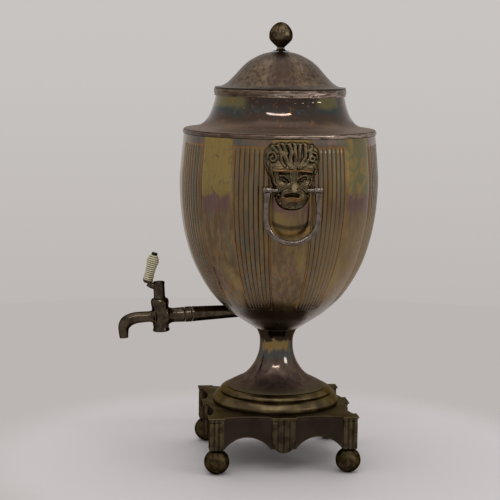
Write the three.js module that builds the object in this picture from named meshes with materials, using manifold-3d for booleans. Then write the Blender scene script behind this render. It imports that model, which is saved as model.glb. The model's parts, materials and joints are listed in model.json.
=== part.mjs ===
// Tea urn on a square footed plinth, with a lift-off lid, two lion masks with hanging bails,
// a plug tap with a turned grip, and a heating iron in its sleeve inside.
// Millimetres, +Z up. The tap points to -Y and the masks face +X and -X.

import * as THREE from "three";
import { mergeVertices } from "three/addons/utils/BufferGeometryUtils.js";
import Module from "manifold-3d";

const wasm = await Module();
wasm.setup();

// Clearances
const seatGap = 0.3; // between pieces that touch or are soldered together
const runningGap = 0.15; // around a piece that turns in its bore

// Small bevel on turned edges
const softEdge = 0.6;

// Sheet metal
const bodyWall = 1.5;
const lidWall = 1.2;
const stemWall = 1.5;

// Ball feet and the studs that hold them
const ballRadius = 12.7;
const ballFlatRadius = 3.0;
const ballInset = 1.0; // ball's middle inward of its post's middle, on both sides
const studRadius = 2.0;
const studDepthInBall = 11.5;
const studLength = 30;

// Plinth
const plinthHalfWidth = 74.7;
const plinthHeight = 33.4;
const plateThickness = 1.6;
const plateOverhang = 0.5;
const postWidth = 14.2;
const postReedCount = 3;
const postReedDepth = 1.0;
const panelThickness = 2.0;
const panelSetBack = 3.2; // post face to side panel, at the panel's ends
const scallopDepth = 4.6;
const archRise = 11.5;
const archMargin = 0.7; // plain panel left at each end of an arch
const bossWidth = 24;
const bossThickness = 3.4;
const bossDrop = 3.4; // boss tip below the posts
const bossReedCount = 4;
const bossReedDepth = 1.1;

// Round foot and stem
const stemFootRadius = 51.2;
const footBeadStep = 6.6; // bead beyond the stem's foot
const footBeadHeight = 5.4;
const footBeadWidth = 10;
const footRimStep = 7.2; // rim beyond the bead
const footRimHeight = 10.9;
const footRimWidth = 14;
const stemWaistRadius = 17.2;
const stemTopRadius = 21.3;
const stemHeight = 60.6;
const stemBore = 8;

// Body
const bodyFootStep = 1.3; // body's foot beyond the stem's top
const bellyRadius = 101.8;
const shoulderRadius = 97.8;
const bodyHeight = 200.4;
const bowlHeight = 37; // lower bowl, which the rest of the body is soldered to

// Shoulder band, neck and mouth band
const shoulderBandHeight = 3.9;
const shoulderBandStep = 0.8; // band beyond the body
const shoulderBandWidth = 3.2;
const neckHeight = 41.4;
const mouthRadius = 65.9;
const mouthBandHeight = 7;
const mouthBandThickness = 1.3;

// Lid and finial
const lidFlangeStep = 0.9; // flange beyond the neck's mouth
const lidFlangeThickness = 1.2;
const lidHeight = 37;
const lidBorderWidth = 8.4; // plain border between the mouth's edge and the dome
const domeFlatRadius = 9;
const bezelDepth = 10.5;
const bezelThickness = 1.3;
const bezelClearance = 0.5;
const collarRadius = 8.4;
const collarHeight = 2.9;
const budRadius = 12.0;
const budHeight = 26.2;
const budNeckRadius = 3.9;
const budStudRadius = 2.2;
const nutWidth = 10;
const nutThickness = 4;

// Lion masks, measured from the mask's middle
const maskBelowShoulder = 29.4; // middle of the mask below the body's top
const maskHalfWidth = 27.4;
const maskRise = 28.4;
const maskDrop = 37.6;
const maskJawHalfWidth = 16.8;
const maskEdge = 1.8;
const maskRelief = 11.5;
const maskStandOff = 0.9; // mask's back to the body's side

// Bails and their pivot bars
const pivotBelowMask = 18;
const pivotStandOff = 6.9; // from the body's side
const barRadius = 1.8;
const barHeadStep = 1.1; // head beyond the bar
const barHeadThickness = 0.8;
const knuckleWall = 1.35;
const knuckleLength = 7.2;
const bailHalfWidth = 24.4; // at its knuckles
const bailBow = 0.9; // wider below them, on each side
const bailArm = 25.8;
const bailWireRadius = 2.55;
const bailCollarLength = 7.5;

// Outlet pipe and tap
const pipeHeightOnBody = 16.8; // where its axis meets the body's side, above the body's foot
const tapStandOff = 73.3; // body side to barrel axis, at that height
const tapDroop = THREE.MathUtils.degToRad(3.4);
const pipeInnerRadius = 6.3;
const pipeOuterRadius = 7.9;
const pipeBore = 4.9;
const jointRingStep = 0.2; // ring beyond the pipe
const jointRingLength = 7;
const tailLength = 24.7;
const tailRadius = 7.3;
const spigotLength = 12;
const waterBore = 3.5;
const barrelRadius = 8.5;
const barrelLipRadius = 9.2;
const barrelAbove = 18.3;
const barrelBelow = 15.8;
const skirtDepth = 4.4;
const skirtWall = 1.9;
const spoutReach = 38.9;
const spoutDrop = 20.3;
const spoutRootRadius = 5.6;
const spoutBendRadius = 6.9;
const spoutEndRadius = 5.7;

// Tap plug with its key, and the grip
const plugTopRadius = 5.6;
const plugFootRadius = 4.7;
const plugHeadRadius = 6.15;
const plugHeadHeight = 17.4;
const plugHeadChamfer = 0.9;
const keyArmRadius = 2.0;
const gripFootAboveHead = 1.6;
const gripLean = THREE.MathUtils.degToRad(17.4);
const gripLength = 27.3;
const gripFootRadius = 5.5;
const gripWaistRadius = 5.05;
const gripBellyRadius = 6.45;
const gripTopRadius = 3.6;
const tangRadius = 1.6;
const tangCollarRadius = 2.6;
const gripCapInset = 0.5; // cap within the grip's top
const gripCapHeight = 2.2;
const plugScrewRadius = 1.4;
const plugScrewHeadRadius = 4.2;
const plugScrewHeadHeight = 2.0;
const plugScrewLength = 8;
const plugWasherClearance = 0.5; // to the barrel's skirt
const plugWasherThickness = 1.2;

// Heating iron, its sleeve and the sleeve's cover
const sleeveRadius = 24;
const sleeveWall = 1.2;
const sleeveBossRadius = 12;
const sleeveBossHeight = 6;
const sleeveHeight = 205;
const ironClearance = 3.8; // to the sleeve
const ironLength = 120;
const ironRodRadius = 3;
const ironRodLength = 20;
const ironEyeRadius = 7;
const ironEyeWire = 2.5;
const coverRim = 2.4; // cover beyond the sleeve's side
const coverThickness = 1.5;
const coverSkirt = 6;
const coverKnobRadius = 5.5;
const coverKnobHeight = 9;

// Radii that follow from the pieces they meet
const bodyFootRadius = stemTopRadius + bodyFootStep;
const footBeadRadius = stemFootRadius + footBeadStep;
const footRimRadius = footBeadRadius + footRimStep;
const shoulderBandRadius = shoulderRadius + shoulderBandStep;
const lidFlangeRadius = mouthRadius + lidFlangeStep;
const domeRadius = mouthRadius - lidBorderWidth;
const barHeadRadius = barRadius + barHeadStep;
const knuckleRadius = barRadius + runningGap + knuckleWall;
const jointRingRadius = pipeOuterRadius + jointRingStep;
const gripCapRadius = gripTopRadius - gripCapInset;
const ironRadius = sleeveRadius - sleeveWall - ironClearance;

// Roundness, in sides to a turn
const broadSides = 36;
const middleSides = 24;
const smallSides = 20;

// Heights of the stack, from the floor up
const ballCentreZ = Math.sqrt(ballRadius ** 2 - ballFlatRadius ** 2);
const studBore = studRadius + seatGap;
const postBottomZ = ballCentreZ + Math.sqrt(ballRadius ** 2 - studBore ** 2) + seatGap;
const plateTopZ = postBottomZ + plinthHeight;
const plateBottomZ = plateTopZ - plateThickness;
const footRimZ = plateTopZ + seatGap;
const footBeadZ = footRimZ + footRimHeight + seatGap;
const stemZ = footBeadZ + footBeadHeight + seatGap;
const bodyZ = stemZ + stemHeight + seatGap;
const bodyTopZ = bodyZ + bodyHeight;
const shoulderBandZ = bodyTopZ + seatGap;
const neckZ = shoulderBandZ + shoulderBandHeight + seatGap;
const mouthZ = neckZ + neckHeight;
const lidZ = mouthZ + seatGap;
const domeTopZ = lidZ + lidHeight;

// Materials
const finish = (color, roughness, metalness) => ({ color, roughness, metalness });
const tarnishedSilver = finish(0x6b6250, 0.32, 0.9);
const darkSilver = finish(0x4a423a, 0.22, 0.9);
const oldBronze = finish(0x4b4230, 0.38, 0.85);
const tapBronze = finish(0x3f3328, 0.35, 0.85);
const ivory = finish(0xd8d0b0, 0.45, 0);
const blackened = finish(0x1c1a18, 0.5, 0.4);
const tinned = finish(0x8b8a84, 0.5, 0.8);
const forgedIron = finish(0x2f2c2a, 0.75, 0.6);

// Building blocks

const degrees = THREE.MathUtils.degToRad;

/** Solid of revolution about Z. The outline runs up its outside, from axis to axis. */
function turned(outline, sides) {
  const points = outline.map(([radius, height]) => new THREE.Vector2(radius, height));
  return new THREE.LatheGeometry(points, sides).rotateX(Math.PI / 2);
}

/** Ring about Z, from an outline that closes on itself. */
function turnedRing(outline, sides) {
  return turned([...outline, outline[0]], sides);
}

/** Smooth outline through [radius, height] pairs. */
function smooth(outline, count) {
  const curve = new THREE.SplineCurve(outline.map(([radius, height]) => new THREE.Vector2(radius, height)));
  return curve.getSpacedPoints(count).map((point) => [point.x, point.y]);
}

/** Copy of an open outline, moved to its left by a distance. */
function offsetLeft(outline, distance) {
  return outline.map(([radius, height], index) => {
    const before = outline[Math.max(index - 1, 0)];
    const after = outline[Math.min(index + 1, outline.length - 1)];
    const along = new THREE.Vector2(after[0] - before[0], after[1] - before[1]).normalize();
    return [radius - along.y * distance, height + along.x * distance];
  });
}

/** Every second point of an outline, with both its ends. */
function thinned(outline) {
  return outline.filter((point, index) => index % 2 === 0 || index === outline.length - 1);
}

/** Height-to-radius lookup on an outline that rises all the way. */
function radiusOn(outline, height) {
  const above = outline.findIndex((point) => point[1] >= height);
  if (above <= 0) return outline[above === 0 ? 0 : outline.length - 1][0];
  const [lowRadius, low] = outline[above - 1];
  const [highRadius, high] = outline[above];
  return THREE.MathUtils.mapLinear(height, low, high, lowRadius, highRadius);
}

/** Part of a rising outline below a height, cut level there. */
function lowerPart(outline, height) {
  return [...outline.filter((point) => point[1] < height), [radiusOn(outline, height), height]];
}

/** Part of a rising outline above a height, cut level there. */
function upperPart(outline, height) {
  return [[radiusOn(outline, height), height], ...outline.filter((point) => point[1] > height)];
}

/** Arc in the plane of an outline, as [x, y] pairs. */
function arc(centreX, centreY, radius, startDegrees, endDegrees, steps) {
  const points = [];
  for (let step = 0; step <= steps; step++) {
    const angle = degrees(THREE.MathUtils.lerp(startDegrees, endDegrees, step / steps));
    points.push([centreX + radius * Math.cos(angle), centreY + radius * Math.sin(angle)]);
  }
  return points;
}

/** Upright solid over a flat outline, with optional round holes [x, y, radius]. */
function upright(outline, bottom, height, holes = []) {
  const shape = new THREE.Shape(outline.map(([x, y]) => new THREE.Vector2(x, y)));
  for (const [x, y, radius] of holes) {
    shape.holes.push(new THREE.Path().absarc(x, y, radius, 0, 2 * Math.PI, true));
  }
  const settings = { depth: height, bevelEnabled: false, curveSegments: 6 };
  return new THREE.ExtrudeGeometry(shape, settings).translate(0, 0, bottom);
}

/** Closed skin over rings of points, with one point at each end. Rings turn about the way they go. */
function lofted(start, rings, end) {
  const count = rings[0].length;
  const vertices = [start, ...rings.flat(), end].flatMap((point) => point.toArray());
  const at = (ring, index) => 1 + ring * count + (index % count);
  const last = rings.length - 1;
  const faces = [];
  for (let index = 0; index < count; index++) {
    faces.push(0, at(0, index + 1), at(0, index));
    for (let ring = 0; ring < last; ring++) {
      faces.push(at(ring, index), at(ring, index + 1), at(ring + 1, index + 1));
      faces.push(at(ring, index), at(ring + 1, index + 1), at(ring + 1, index));
    }
    faces.push(at(last, index), at(last, index + 1), 1 + rings.length * count);
  }
  const geometry = new THREE.BufferGeometry();
  geometry.setAttribute("position", new THREE.Float32BufferAttribute(vertices, 3));
  geometry.setIndex(faces);
  geometry.computeVertexNormals();
  return geometry;
}

/** Round bar along a curve in the XZ plane, whose radius follows a function of 0 to 1. */
function barAlong(points, radiusAt, steps, sides) {
  const curve = new THREE.CatmullRomCurve3(points.map(([x, z]) => new THREE.Vector3(x, 0, z)));
  const rings = [];
  for (let step = 0; step <= steps; step++) {
    const share = step / steps;
    const centre = curve.getPointAt(share);
    const along = curve.getTangentAt(share);
    const across = new THREE.Vector3(0, 1, 0).cross(along);
    const ring = [];
    for (let side = 0; side < sides; side++) {
      const angle = (2 * Math.PI * side) / sides;
      const radius = radiusAt(share);
      ring.push(
        centre
          .clone()
          .addScaledVector(across, radius * Math.cos(angle))
          .add(new THREE.Vector3(0, radius * Math.sin(angle), 0)),
      );
    }
    rings.push(ring);
  }
  return lofted(curve.getPointAt(0), rings, curve.getPointAt(1));
}

/** Solid for joining and cutting, from a closed geometry. */
function toSolid(geometry) {
  const bare = geometry.clone();
  bare.deleteAttribute("normal");
  bare.deleteAttribute("uv");
  const merged = mergeVertices(bare, 1e-4);
  const corners = merged.index.array;
  const triVerts = [];
  for (let first = 0; first < corners.length; first += 3) {
    const [a, b, c] = corners.slice(first, first + 3);
    if (a !== b && b !== c && c !== a) triVerts.push(a, b, c);
  }
  const vertProperties = new Float32Array(merged.attributes.position.array);
  return new wasm.Manifold(
    new wasm.Mesh({ numProp: 3, vertProperties, triVerts: new Uint32Array(triVerts) }),
  );
}

/** Geometry of a joined or cut solid. */
function toGeometry(solid) {
  const mesh = solid.getMesh();
  const geometry = new THREE.BufferGeometry();
  geometry.setAttribute("position", new THREE.BufferAttribute(new Float32Array(mesh.vertProperties), 3));
  geometry.setIndex(new THREE.BufferAttribute(new Uint32Array(mesh.triVerts), 1));
  geometry.computeVertexNormals();
  return geometry;
}

/** One geometry from several that overlap. */
function joined(...geometries) {
  return toGeometry(geometries.map(toSolid).reduce((whole, piece) => whole.add(piece)));
}

/** A geometry less the tools. */
function cut(geometry, ...tools) {
  return toGeometry(tools.map(toSolid).reduce((rest, tool) => rest.subtract(tool), toSolid(geometry)));
}

/** The stock common to two geometries. */
function common(first, second) {
  return toGeometry(toSolid(first).intersect(toSolid(second)));
}

/** Plain round bar on Z. */
function roundBar(radius, bottom, top, sides) {
  return turned([[0, bottom], [radius, bottom], [radius, top], [0, top]], sides);
}

/** Plain round tube on Z. */
function roundTube(inner, outer, bottom, top, sides) {
  return turnedRing([[inner, bottom], [outer, bottom], [outer, top], [inner, top]], sides);
}

/** Named piece, added to its group. */
function addPiece(group, name, geometry, look) {
  const mesh = new THREE.Mesh(geometry, new THREE.MeshStandardMaterial(look));
  mesh.name = name;
  group.add(mesh);
  return mesh;
}

const urn = new THREE.Group();

// Plan of one side of the plinth, facing +X. Pairs are [outward, along].

const postInner = plinthHalfWidth - postWidth;
const panelFace = plinthHalfWidth - panelSetBack;
const bossHalf = bossWidth / 2;
const bossFace = panelFace + seatGap + bossThickness;
const ballPlace = plinthHalfWidth - postWidth / 2 - ballInset;

/** Outward place of the scalloped panel face at a distance along the side. */
function scallopAt(along) {
  const distance = Math.abs(along);
  if (distance <= bossHalf) return panelFace;
  const middle = (postInner + bossHalf) / 2;
  const share = (distance - middle) / (postInner - middle);
  return panelFace - scallopDepth * (1 - share ** 2);
}

/** Face of a scalloped side from one post to the other. */
function scallopLine(endGap) {
  const reach = postInner - endGap;
  const steps = 5;
  const half = [];
  for (let step = 0; step <= steps; step++) {
    half.push(THREE.MathUtils.lerp(reach, bossHalf, step / steps));
  }
  const places = [...half.map((along) => -along), ...half.reverse()];
  return places.map((along) => [scallopAt(along), along]);
}

/** Row of half-round reeds along a face, each set between its grooves. */
function reedLine(face, start, end, count, depth) {
  const pitch = (end - start) / count;
  const points = [];
  for (let reed = 0; reed < count; reed++) {
    const foot = start + reed * pitch;
    points.push([face - depth, foot], [face, foot + 0.28 * pitch], [face, foot + 0.72 * pitch]);
  }
  points.push([face - depth, end]);
  return points;
}

function buildFeet() {
  const ballTop = Math.sqrt(ballRadius ** 2 - studBore ** 2);
  const bottomAngle = THREE.MathUtils.radToDeg(Math.atan2(-ballCentreZ, ballFlatRadius));
  const topAngle = THREE.MathUtils.radToDeg(Math.atan2(ballTop, studBore));
  const boreBottom = ballCentreZ + ballTop - studDepthInBall;
  const outline = [
    [0, 0],
    ...arc(0, ballCentreZ, ballRadius, bottomAngle, topAngle, 7),
    [studBore, boreBottom],
    [0, boreBottom],
  ];
  const ball = turned(outline, 14);
  const stud = roundBar(studRadius, boreBottom + seatGap, boreBottom + seatGap + studLength, 10);
  eachCorner((name, signX, signY) => {
    const [x, y] = [signX * ballPlace, signY * ballPlace];
    addPiece(urn, `foot_ball_${name}`, ball, oldBronze).position.set(x, y, 0);
    addPiece(urn, `foot_stud_${name}`, stud, oldBronze).position.set(x, y, 0);
  });
}

/** Runs a step for each corner of the plinth. Front is the tap's side. */
function eachCorner(action) {
  action("front_right", 1, -1);
  action("back_right", 1, 1);
  action("back_left", -1, 1);
  action("front_left", -1, -1);
}

/** Runs a step for each side of the plinth, with the turn from +X. */
function eachSide(action) {
  ["right", "back", "left", "front"].forEach((name, index) => action(name, (index * Math.PI) / 2));
}

function buildPlinth() {
  const height = plateBottomZ - seatGap - postBottomZ;
  const outward = reedLine(plinthHalfWidth, postInner, plinthHalfWidth, postReedCount, postReedDepth);
  const sideways = outward.map(([face, along]) => [along, face]).reverse();
  const groove = plinthHalfWidth - postReedDepth;
  const postOutline = [
    [postInner, postInner],
    ...outward.slice(0, -1),
    [groove, groove],
    ...sideways.slice(1),
  ];
  const post = upright(postOutline, postBottomZ, height, [[ballPlace, ballPlace, studBore]]);
  const corners = ["back_right", "back_left", "front_left", "front_right"];
  corners.forEach((name, index) => {
    addPiece(urn, `corner_post_${name}`, post, oldBronze).rotation.z = (index * Math.PI) / 2;
  });

  const face = scallopLine(seatGap);
  const back = face.map(([out, along]) => [out - panelThickness, along]).reverse();
  const archHalf = (postInner - bossHalf) / 2 - archMargin;
  const archRadius = (archHalf ** 2 + archRise ** 2) / (2 * archRise);
  const archCentre = postBottomZ + archRise - archRadius;
  const archTool = new THREE.CylinderGeometry(archRadius, archRadius, 4 * postWidth, 28)
    .rotateZ(Math.PI / 2)
    .translate(panelFace, (postInner + bossHalf) / 2, archCentre);
  const otherArch = archTool.clone().translate(0, -(postInner + bossHalf), 0);
  const panel = cut(upright([...face, ...back], postBottomZ, height), archTool, otherArch);

  const bossBack = panelFace + seatGap;
  const bossPlan = [
    [bossBack, -bossHalf],
    ...reedLine(bossFace, -bossHalf, bossHalf, bossReedCount, bossReedDepth),
    [bossBack, bossHalf],
  ];
  const bossTop = postBottomZ + height;
  const bossTip = postBottomZ - bossDrop;
  const bossSide = [
    ...arc(0, bossTip + bossHalf, bossHalf, 180, 360, 12),
    [bossHalf, bossTop],
    [-bossHalf, bossTop],
  ];
  const bossBlank = upright(bossPlan, bossTip, bossTop - bossTip);
  const bossForm = upright(bossSide, 0, 2 * plinthHalfWidth)
    .rotateX(Math.PI / 2)
    .rotateZ(Math.PI / 2);
  const boss = common(bossBlank, bossForm);

  eachSide((name, turn) => {
    addPiece(urn, `plinth_panel_${name}`, panel, oldBronze).rotation.z = turn;
    addPiece(urn, `reeded_boss_${name}`, boss, oldBronze).rotation.z = turn;
  });
}

function buildPlinthPlate() {
  const rim = plinthHalfWidth + plateOverhang;
  const reach = bossHalf + plateOverhang;
  const bossRim = bossFace + plateOverhang;
  const side = scallopLine(plateOverhang).map(([out, along]) => [out + plateOverhang, along]);
  const half = side.length / 2;
  const sideOutline = [
    [rim, -rim],
    [rim, -postInner + plateOverhang],
    ...side.slice(0, half - 1),
    [panelFace + plateOverhang, -reach],
    [bossRim, -reach],
    [bossRim, reach],
    [panelFace + plateOverhang, reach],
    ...side.slice(half + 1),
    [rim, postInner - plateOverhang],
  ];
  const outline = [];
  eachSide((name, turn) => {
    for (const [out, along] of sideOutline) {
      const point = new THREE.Vector2(out, along).rotateAround(new THREE.Vector2(), turn);
      outline.push([point.x, point.y]);
    }
  });
  addPiece(urn, "plinth_plate", upright(outline, plateBottomZ, plateThickness), oldBronze);
}

function buildFootRings() {
  const rimInner = footRimRadius - footRimWidth;
  const shelf = footBeadRadius + 0.7;
  const rimOutline = [
    [rimInner, footRimZ],
    [footRimRadius - 0.8, footRimZ],
    [footRimRadius, footRimZ + 1.5],
    [footRimRadius, footRimZ + 4.6],
    [footRimRadius - 1.2, footRimZ + 6.6],
    [footRimRadius - 3, footRimZ + 9.2],
    [shelf, footRimZ + footRimHeight],
    [rimInner, footRimZ + footRimHeight],
  ];
  addPiece(urn, "foot_rim", turnedRing(rimOutline, broadSides), oldBronze);

  const beadInner = footBeadRadius - footBeadWidth;
  const beadTop = footBeadZ + footBeadHeight;
  const beadOutline = [
    [beadInner, footBeadZ],
    [footBeadRadius - 0.6, footBeadZ],
    [footBeadRadius, footBeadZ + 1.6],
    [footBeadRadius - 1.2, footBeadZ + 3.6],
    [footBeadRadius - 4.2, beadTop],
    [beadInner, beadTop],
  ];
  addPiece(urn, "foot_bead", turnedRing(beadOutline, broadSides), oldBronze);
}

// Stem outline: share of the way from waist to foot radius, and share of the height
const stemFlare = [
  [0.925, 0.042],
  [0.78, 0.086],
  [0.52, 0.16],
  [0.335, 0.25],
  [0.182, 0.37],
  [0.088, 0.48],
  [0.02, 0.61],
  [0, 0.76],
];

function buildStem() {
  const spread = stemFootRadius - stemWaistRadius;
  const flare = stemFlare.map(([out, up]) => [stemWaistRadius + out * spread, stemZ + up * stemHeight]);
  const topZ = stemZ + stemHeight;
  const throat = [
    [stemWaistRadius + 0.2 * (stemTopRadius - stemWaistRadius), stemZ + 0.87 * stemHeight],
    [stemTopRadius, topZ],
  ];
  const outer = [[stemFootRadius, stemZ], ...smooth([...flare, ...throat], 9)];
  const inner = thinned(offsetLeft(outer, stemWall))
    .filter(([, height]) => height < topZ - 2 * stemWall)
    .reverse();
  const inside = [
    [stemBore, topZ],
    [stemBore, topZ - stemWall],
    [stemTopRadius - 2 * stemWall, topZ - stemWall],
    ...inner.slice(0, -1),
    [stemFootRadius - stemWall, stemZ],
  ];
  addPiece(urn, "pedestal_stem", turnedRing([...outer, ...inside], middleSides), darkSilver);
}

// Body outline: share of the way from foot to belly radius, and share of the height
const bodySwell = [
  [0, 0],
  [0.182, 0.047],
  [0.359, 0.097],
  [0.586, 0.188],
  [0.795, 0.328],
  [0.915, 0.469],
  [0.979, 0.608],
  [1, 0.754],
  [0.982, 0.869],
];

const bodyOutline = smooth(
  [
    ...bodySwell.map(([out, up]) => [
      bodyFootRadius + out * (bellyRadius - bodyFootRadius),
      bodyZ + up * bodyHeight,
    ]),
    [shoulderRadius, bodyTopZ],
  ],
  12,
);
const bodyInside = offsetLeft(bodyOutline, bodyWall);

/** Body radius on the outside at a height. */
function bodyRadiusAt(height) {
  return radiusOn(bodyOutline, height);
}

// The tap's own frame: its origin is on the barrel's axis, +X runs out along the pipe, +Z up the barrel.

const pipeZ = bodyZ + pipeHeightOnBody;
const barrelReach = bodyRadiusAt(pipeZ) + tapStandOff;
const barrelZ = pipeZ - tapStandOff * Math.tan(tapDroop);
const tap = new THREE.Group();
tap.position.set(0, -barrelReach, barrelZ);
tap.rotation.set(tapDroop, 0, -Math.PI / 2);
tap.updateMatrix();
urn.add(tap);

const ringFarX = -tailLength - seatGap - jointRingLength;
const pipeEndX = ringFarX - seatGap;
const pipeStartX = radiusOn(bodyInside, pipeZ - pipeInnerRadius) - barrelReach;

/** Pipe radius at a place on its axis. */
function pipeRadiusAt(x) {
  return THREE.MathUtils.mapLinear(x, pipeStartX, pipeEndX, pipeInnerRadius, pipeOuterRadius);
}

/** Turns a geometry made about Z so that it lies along X. */
function alongX(geometry) {
  return geometry.rotateY(Math.PI / 2);
}

function buildBody() {
  const inside = [...thinned(bodyInside).slice(0, -1), [shoulderRadius - bodyWall, bodyTopZ]];
  const bowlTopZ = bodyZ + bowlHeight;
  const wallZ = bowlTopZ + seatGap;
  const wall = [...upperPart(bodyOutline, wallZ), ...upperPart(inside, wallZ).reverse()];
  addPiece(urn, "body_shell", turnedRing(wall, broadSides), tarnishedSilver);

  const bowl = turned(
    [
      [0, bodyZ],
      ...lowerPart(bodyOutline, bowlTopZ),
      ...lowerPart(inside, bowlTopZ).reverse(),
      [0, bodyInside[0][1]],
    ],
    broadSides,
  );
  const holeStartX = pipeStartX - pipeInnerRadius;
  const hole = turned(
    [
      [0, holeStartX],
      [pipeRadiusAt(holeStartX) + seatGap, holeStartX],
      [pipeRadiusAt(pipeEndX) + seatGap, pipeEndX],
      [0, pipeEndX],
    ],
    smallSides,
  );
  const holeTool = alongX(hole).applyMatrix4(tap.matrix);
  addPiece(urn, "body_bowl", cut(bowl, holeTool), tarnishedSilver);
}

function buildShoulderAndNeck() {
  const bandInner = shoulderBandRadius - shoulderBandWidth;
  const bandTop = shoulderBandZ + shoulderBandHeight;
  const bandOutline = [
    [bandInner, shoulderBandZ],
    [shoulderBandRadius - softEdge, shoulderBandZ],
    [shoulderBandRadius, shoulderBandZ + softEdge],
    [shoulderBandRadius, bandTop - softEdge],
    [shoulderBandRadius - softEdge, bandTop],
    [bandInner, bandTop],
  ];
  addPiece(urn, "shoulder_band", turnedRing(bandOutline, broadSides), tarnishedSilver);

  const flat = shoulderRadius - 1.3;
  const rise = (share) => neckZ + share * neckHeight;
  const across = (share) => mouthRadius + share * (flat - mouthRadius);
  const outer = [
    [shoulderRadius, neckZ],
    [shoulderRadius, neckZ + 0.5],
    ...smooth(
      [
        [flat, neckZ + 1.2],
        [across(0.6), rise(0.076)],
        [across(0.39), rise(0.15)],
        [across(0.27), rise(0.25)],
        [across(0.17), rise(0.39)],
        [across(0.095), rise(0.53)],
        [across(0.04), rise(0.67)],
        [mouthRadius, rise(0.8)],
      ],
      7,
    ),
    [mouthRadius, mouthZ],
  ];
  const inside = thinned(offsetLeft(outer, bodyWall))
    .filter(([, height]) => height > neckZ + bodyWall && height < mouthZ - bodyWall)
    .reverse();
  const outline = [...outer, [mouthRadius - bodyWall, mouthZ], ...inside, [bandInner, neckZ]];
  addPiece(urn, "neck", turnedRing(outline, broadSides), darkSilver);

  const inBand = mouthRadius + seatGap;
  const outBand = inBand + mouthBandThickness;
  const topBand = mouthZ - seatGap;
  const mouthBand = roundTube(inBand, outBand, topBand - mouthBandHeight, topBand, broadSides);
  addPiece(urn, "mouth_band", mouthBand, tarnishedSilver);
}

const lid = new THREE.Group();
urn.add(lid);
const finialBore = budStudRadius + seatGap;

function buildLid() {
  const flangeTop = lidZ + lidFlangeThickness;
  const rise = (share) => flangeTop + share * (domeTopZ - flangeTop);
  const across = (share) => domeFlatRadius + share * (domeRadius - domeFlatRadius);
  const dome = smooth(
    [
      [across(1.06), rise(0.018)],
      [across(0.985), rise(0.066)],
      [across(0.9), rise(0.155)],
      [across(0.77), rise(0.335)],
      [across(0.595), rise(0.595)],
      [across(0.44), rise(0.765)],
      [across(0.2), rise(0.93)],
      [domeFlatRadius, domeTopZ],
    ],
    8,
  );
  const inside = thinned(offsetLeft(dome, lidWall)).reverse();
  inside[inside.length - 1][1] = lidZ;
  const outline = [
    [lidFlangeRadius, lidZ],
    [lidFlangeRadius, flangeTop],
    ...dome,
    [finialBore, domeTopZ],
    [finialBore, domeTopZ - lidWall],
    ...inside,
  ];
  addPiece(lid, "lid_dome", turnedRing(outline, broadSides), tarnishedSilver);

  const bezelOuter = mouthRadius - bodyWall - bezelClearance;
  const bezelTop = lidZ - seatGap;
  const bezelInner = bezelOuter - bezelThickness;
  const bezel = roundTube(bezelInner, bezelOuter, bezelTop - bezelDepth, bezelTop, broadSides);
  addPiece(lid, "lid_bezel", bezel, tinned);
}

function buildFinial() {
  const collarZ = domeTopZ + seatGap;
  const collarOutline = [
    [finialBore, collarZ],
    [collarRadius, collarZ],
    [collarRadius, collarZ + 0.9],
    [collarRadius * 0.72, collarZ + 1.6],
    [budNeckRadius + 0.6, collarZ + collarHeight],
    [finialBore, collarZ + collarHeight],
  ];
  addPiece(lid, "finial_collar", turnedRing(collarOutline, middleSides), darkSilver);

  const nutTop = domeTopZ - lidWall - seatGap;
  const studBottom = nutTop - nutThickness - 1.5;
  const budZ = collarZ + collarHeight + seatGap;
  const rise = (share) => budZ + share * budHeight;
  const bud = smooth(
    [
      [budNeckRadius, rise(0.04)],
      [budRadius * 0.62, rise(0.16)],
      [budRadius * 0.93, rise(0.32)],
      [budRadius, rise(0.48)],
      [budRadius * 0.93, rise(0.66)],
      [budRadius * 0.66, rise(0.85)],
      [budRadius * 0.32, rise(0.965)],
      [0, rise(1)],
    ],
    10,
  );
  const outline = [
    [0, studBottom],
    [budStudRadius, studBottom],
    [budStudRadius, budZ],
    [budNeckRadius, budZ],
    ...bud,
  ];
  addPiece(lid, "finial_bud", turned(outline, 16), darkSilver);

  const corners = arc(0, 0, nutWidth / Math.sqrt(3), 0, 300, 5);
  const nut = upright(corners, nutTop - nutThickness, nutThickness, [[0, 0, finialBore]]);
  addPiece(lid, "finial_nut", nut, tinned);
}

// Lion mask, for the +X side

const maskZ = bodyTopZ - maskBelowShoulder;
const pivotZ = maskZ - pivotBelowMask;
const pivotX = bodyRadiusAt(pivotZ) + pivotStandOff;

// Outline of the mask: share of half width, and share of the rise above or the drop below its middle
const maskMane = [
  [0.4, 0.99],
  [0.74, 0.93],
  [0.93, 0.74],
  [1, 0.49],
  [0.95, 0.21],
  [0.86, -0.04],
];

/** Edge of the mask as [across, up] pairs, anticlockwise from the brow's middle. */
function maskEdgeLine() {
  const jaw = [
    [maskJawHalfWidth + 2.6, -0.25 * maskDrop],
    [maskJawHalfWidth + 0.8, -0.44 * maskDrop],
    [maskJawHalfWidth, -0.63 * maskDrop],
    [maskJawHalfWidth * 0.86, -0.8 * maskDrop],
    [maskJawHalfWidth * 0.5, -0.96 * maskDrop],
    [0, -maskDrop],
  ];
  const side = [...maskMane.map(([across, up]) => [across * maskHalfWidth, up * maskRise]), ...jaw];
  const other = side
    .slice(0, -1)
    .map(([across, up]) => [-across, up])
    .reverse();
  return [...side, ...other];
}

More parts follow.
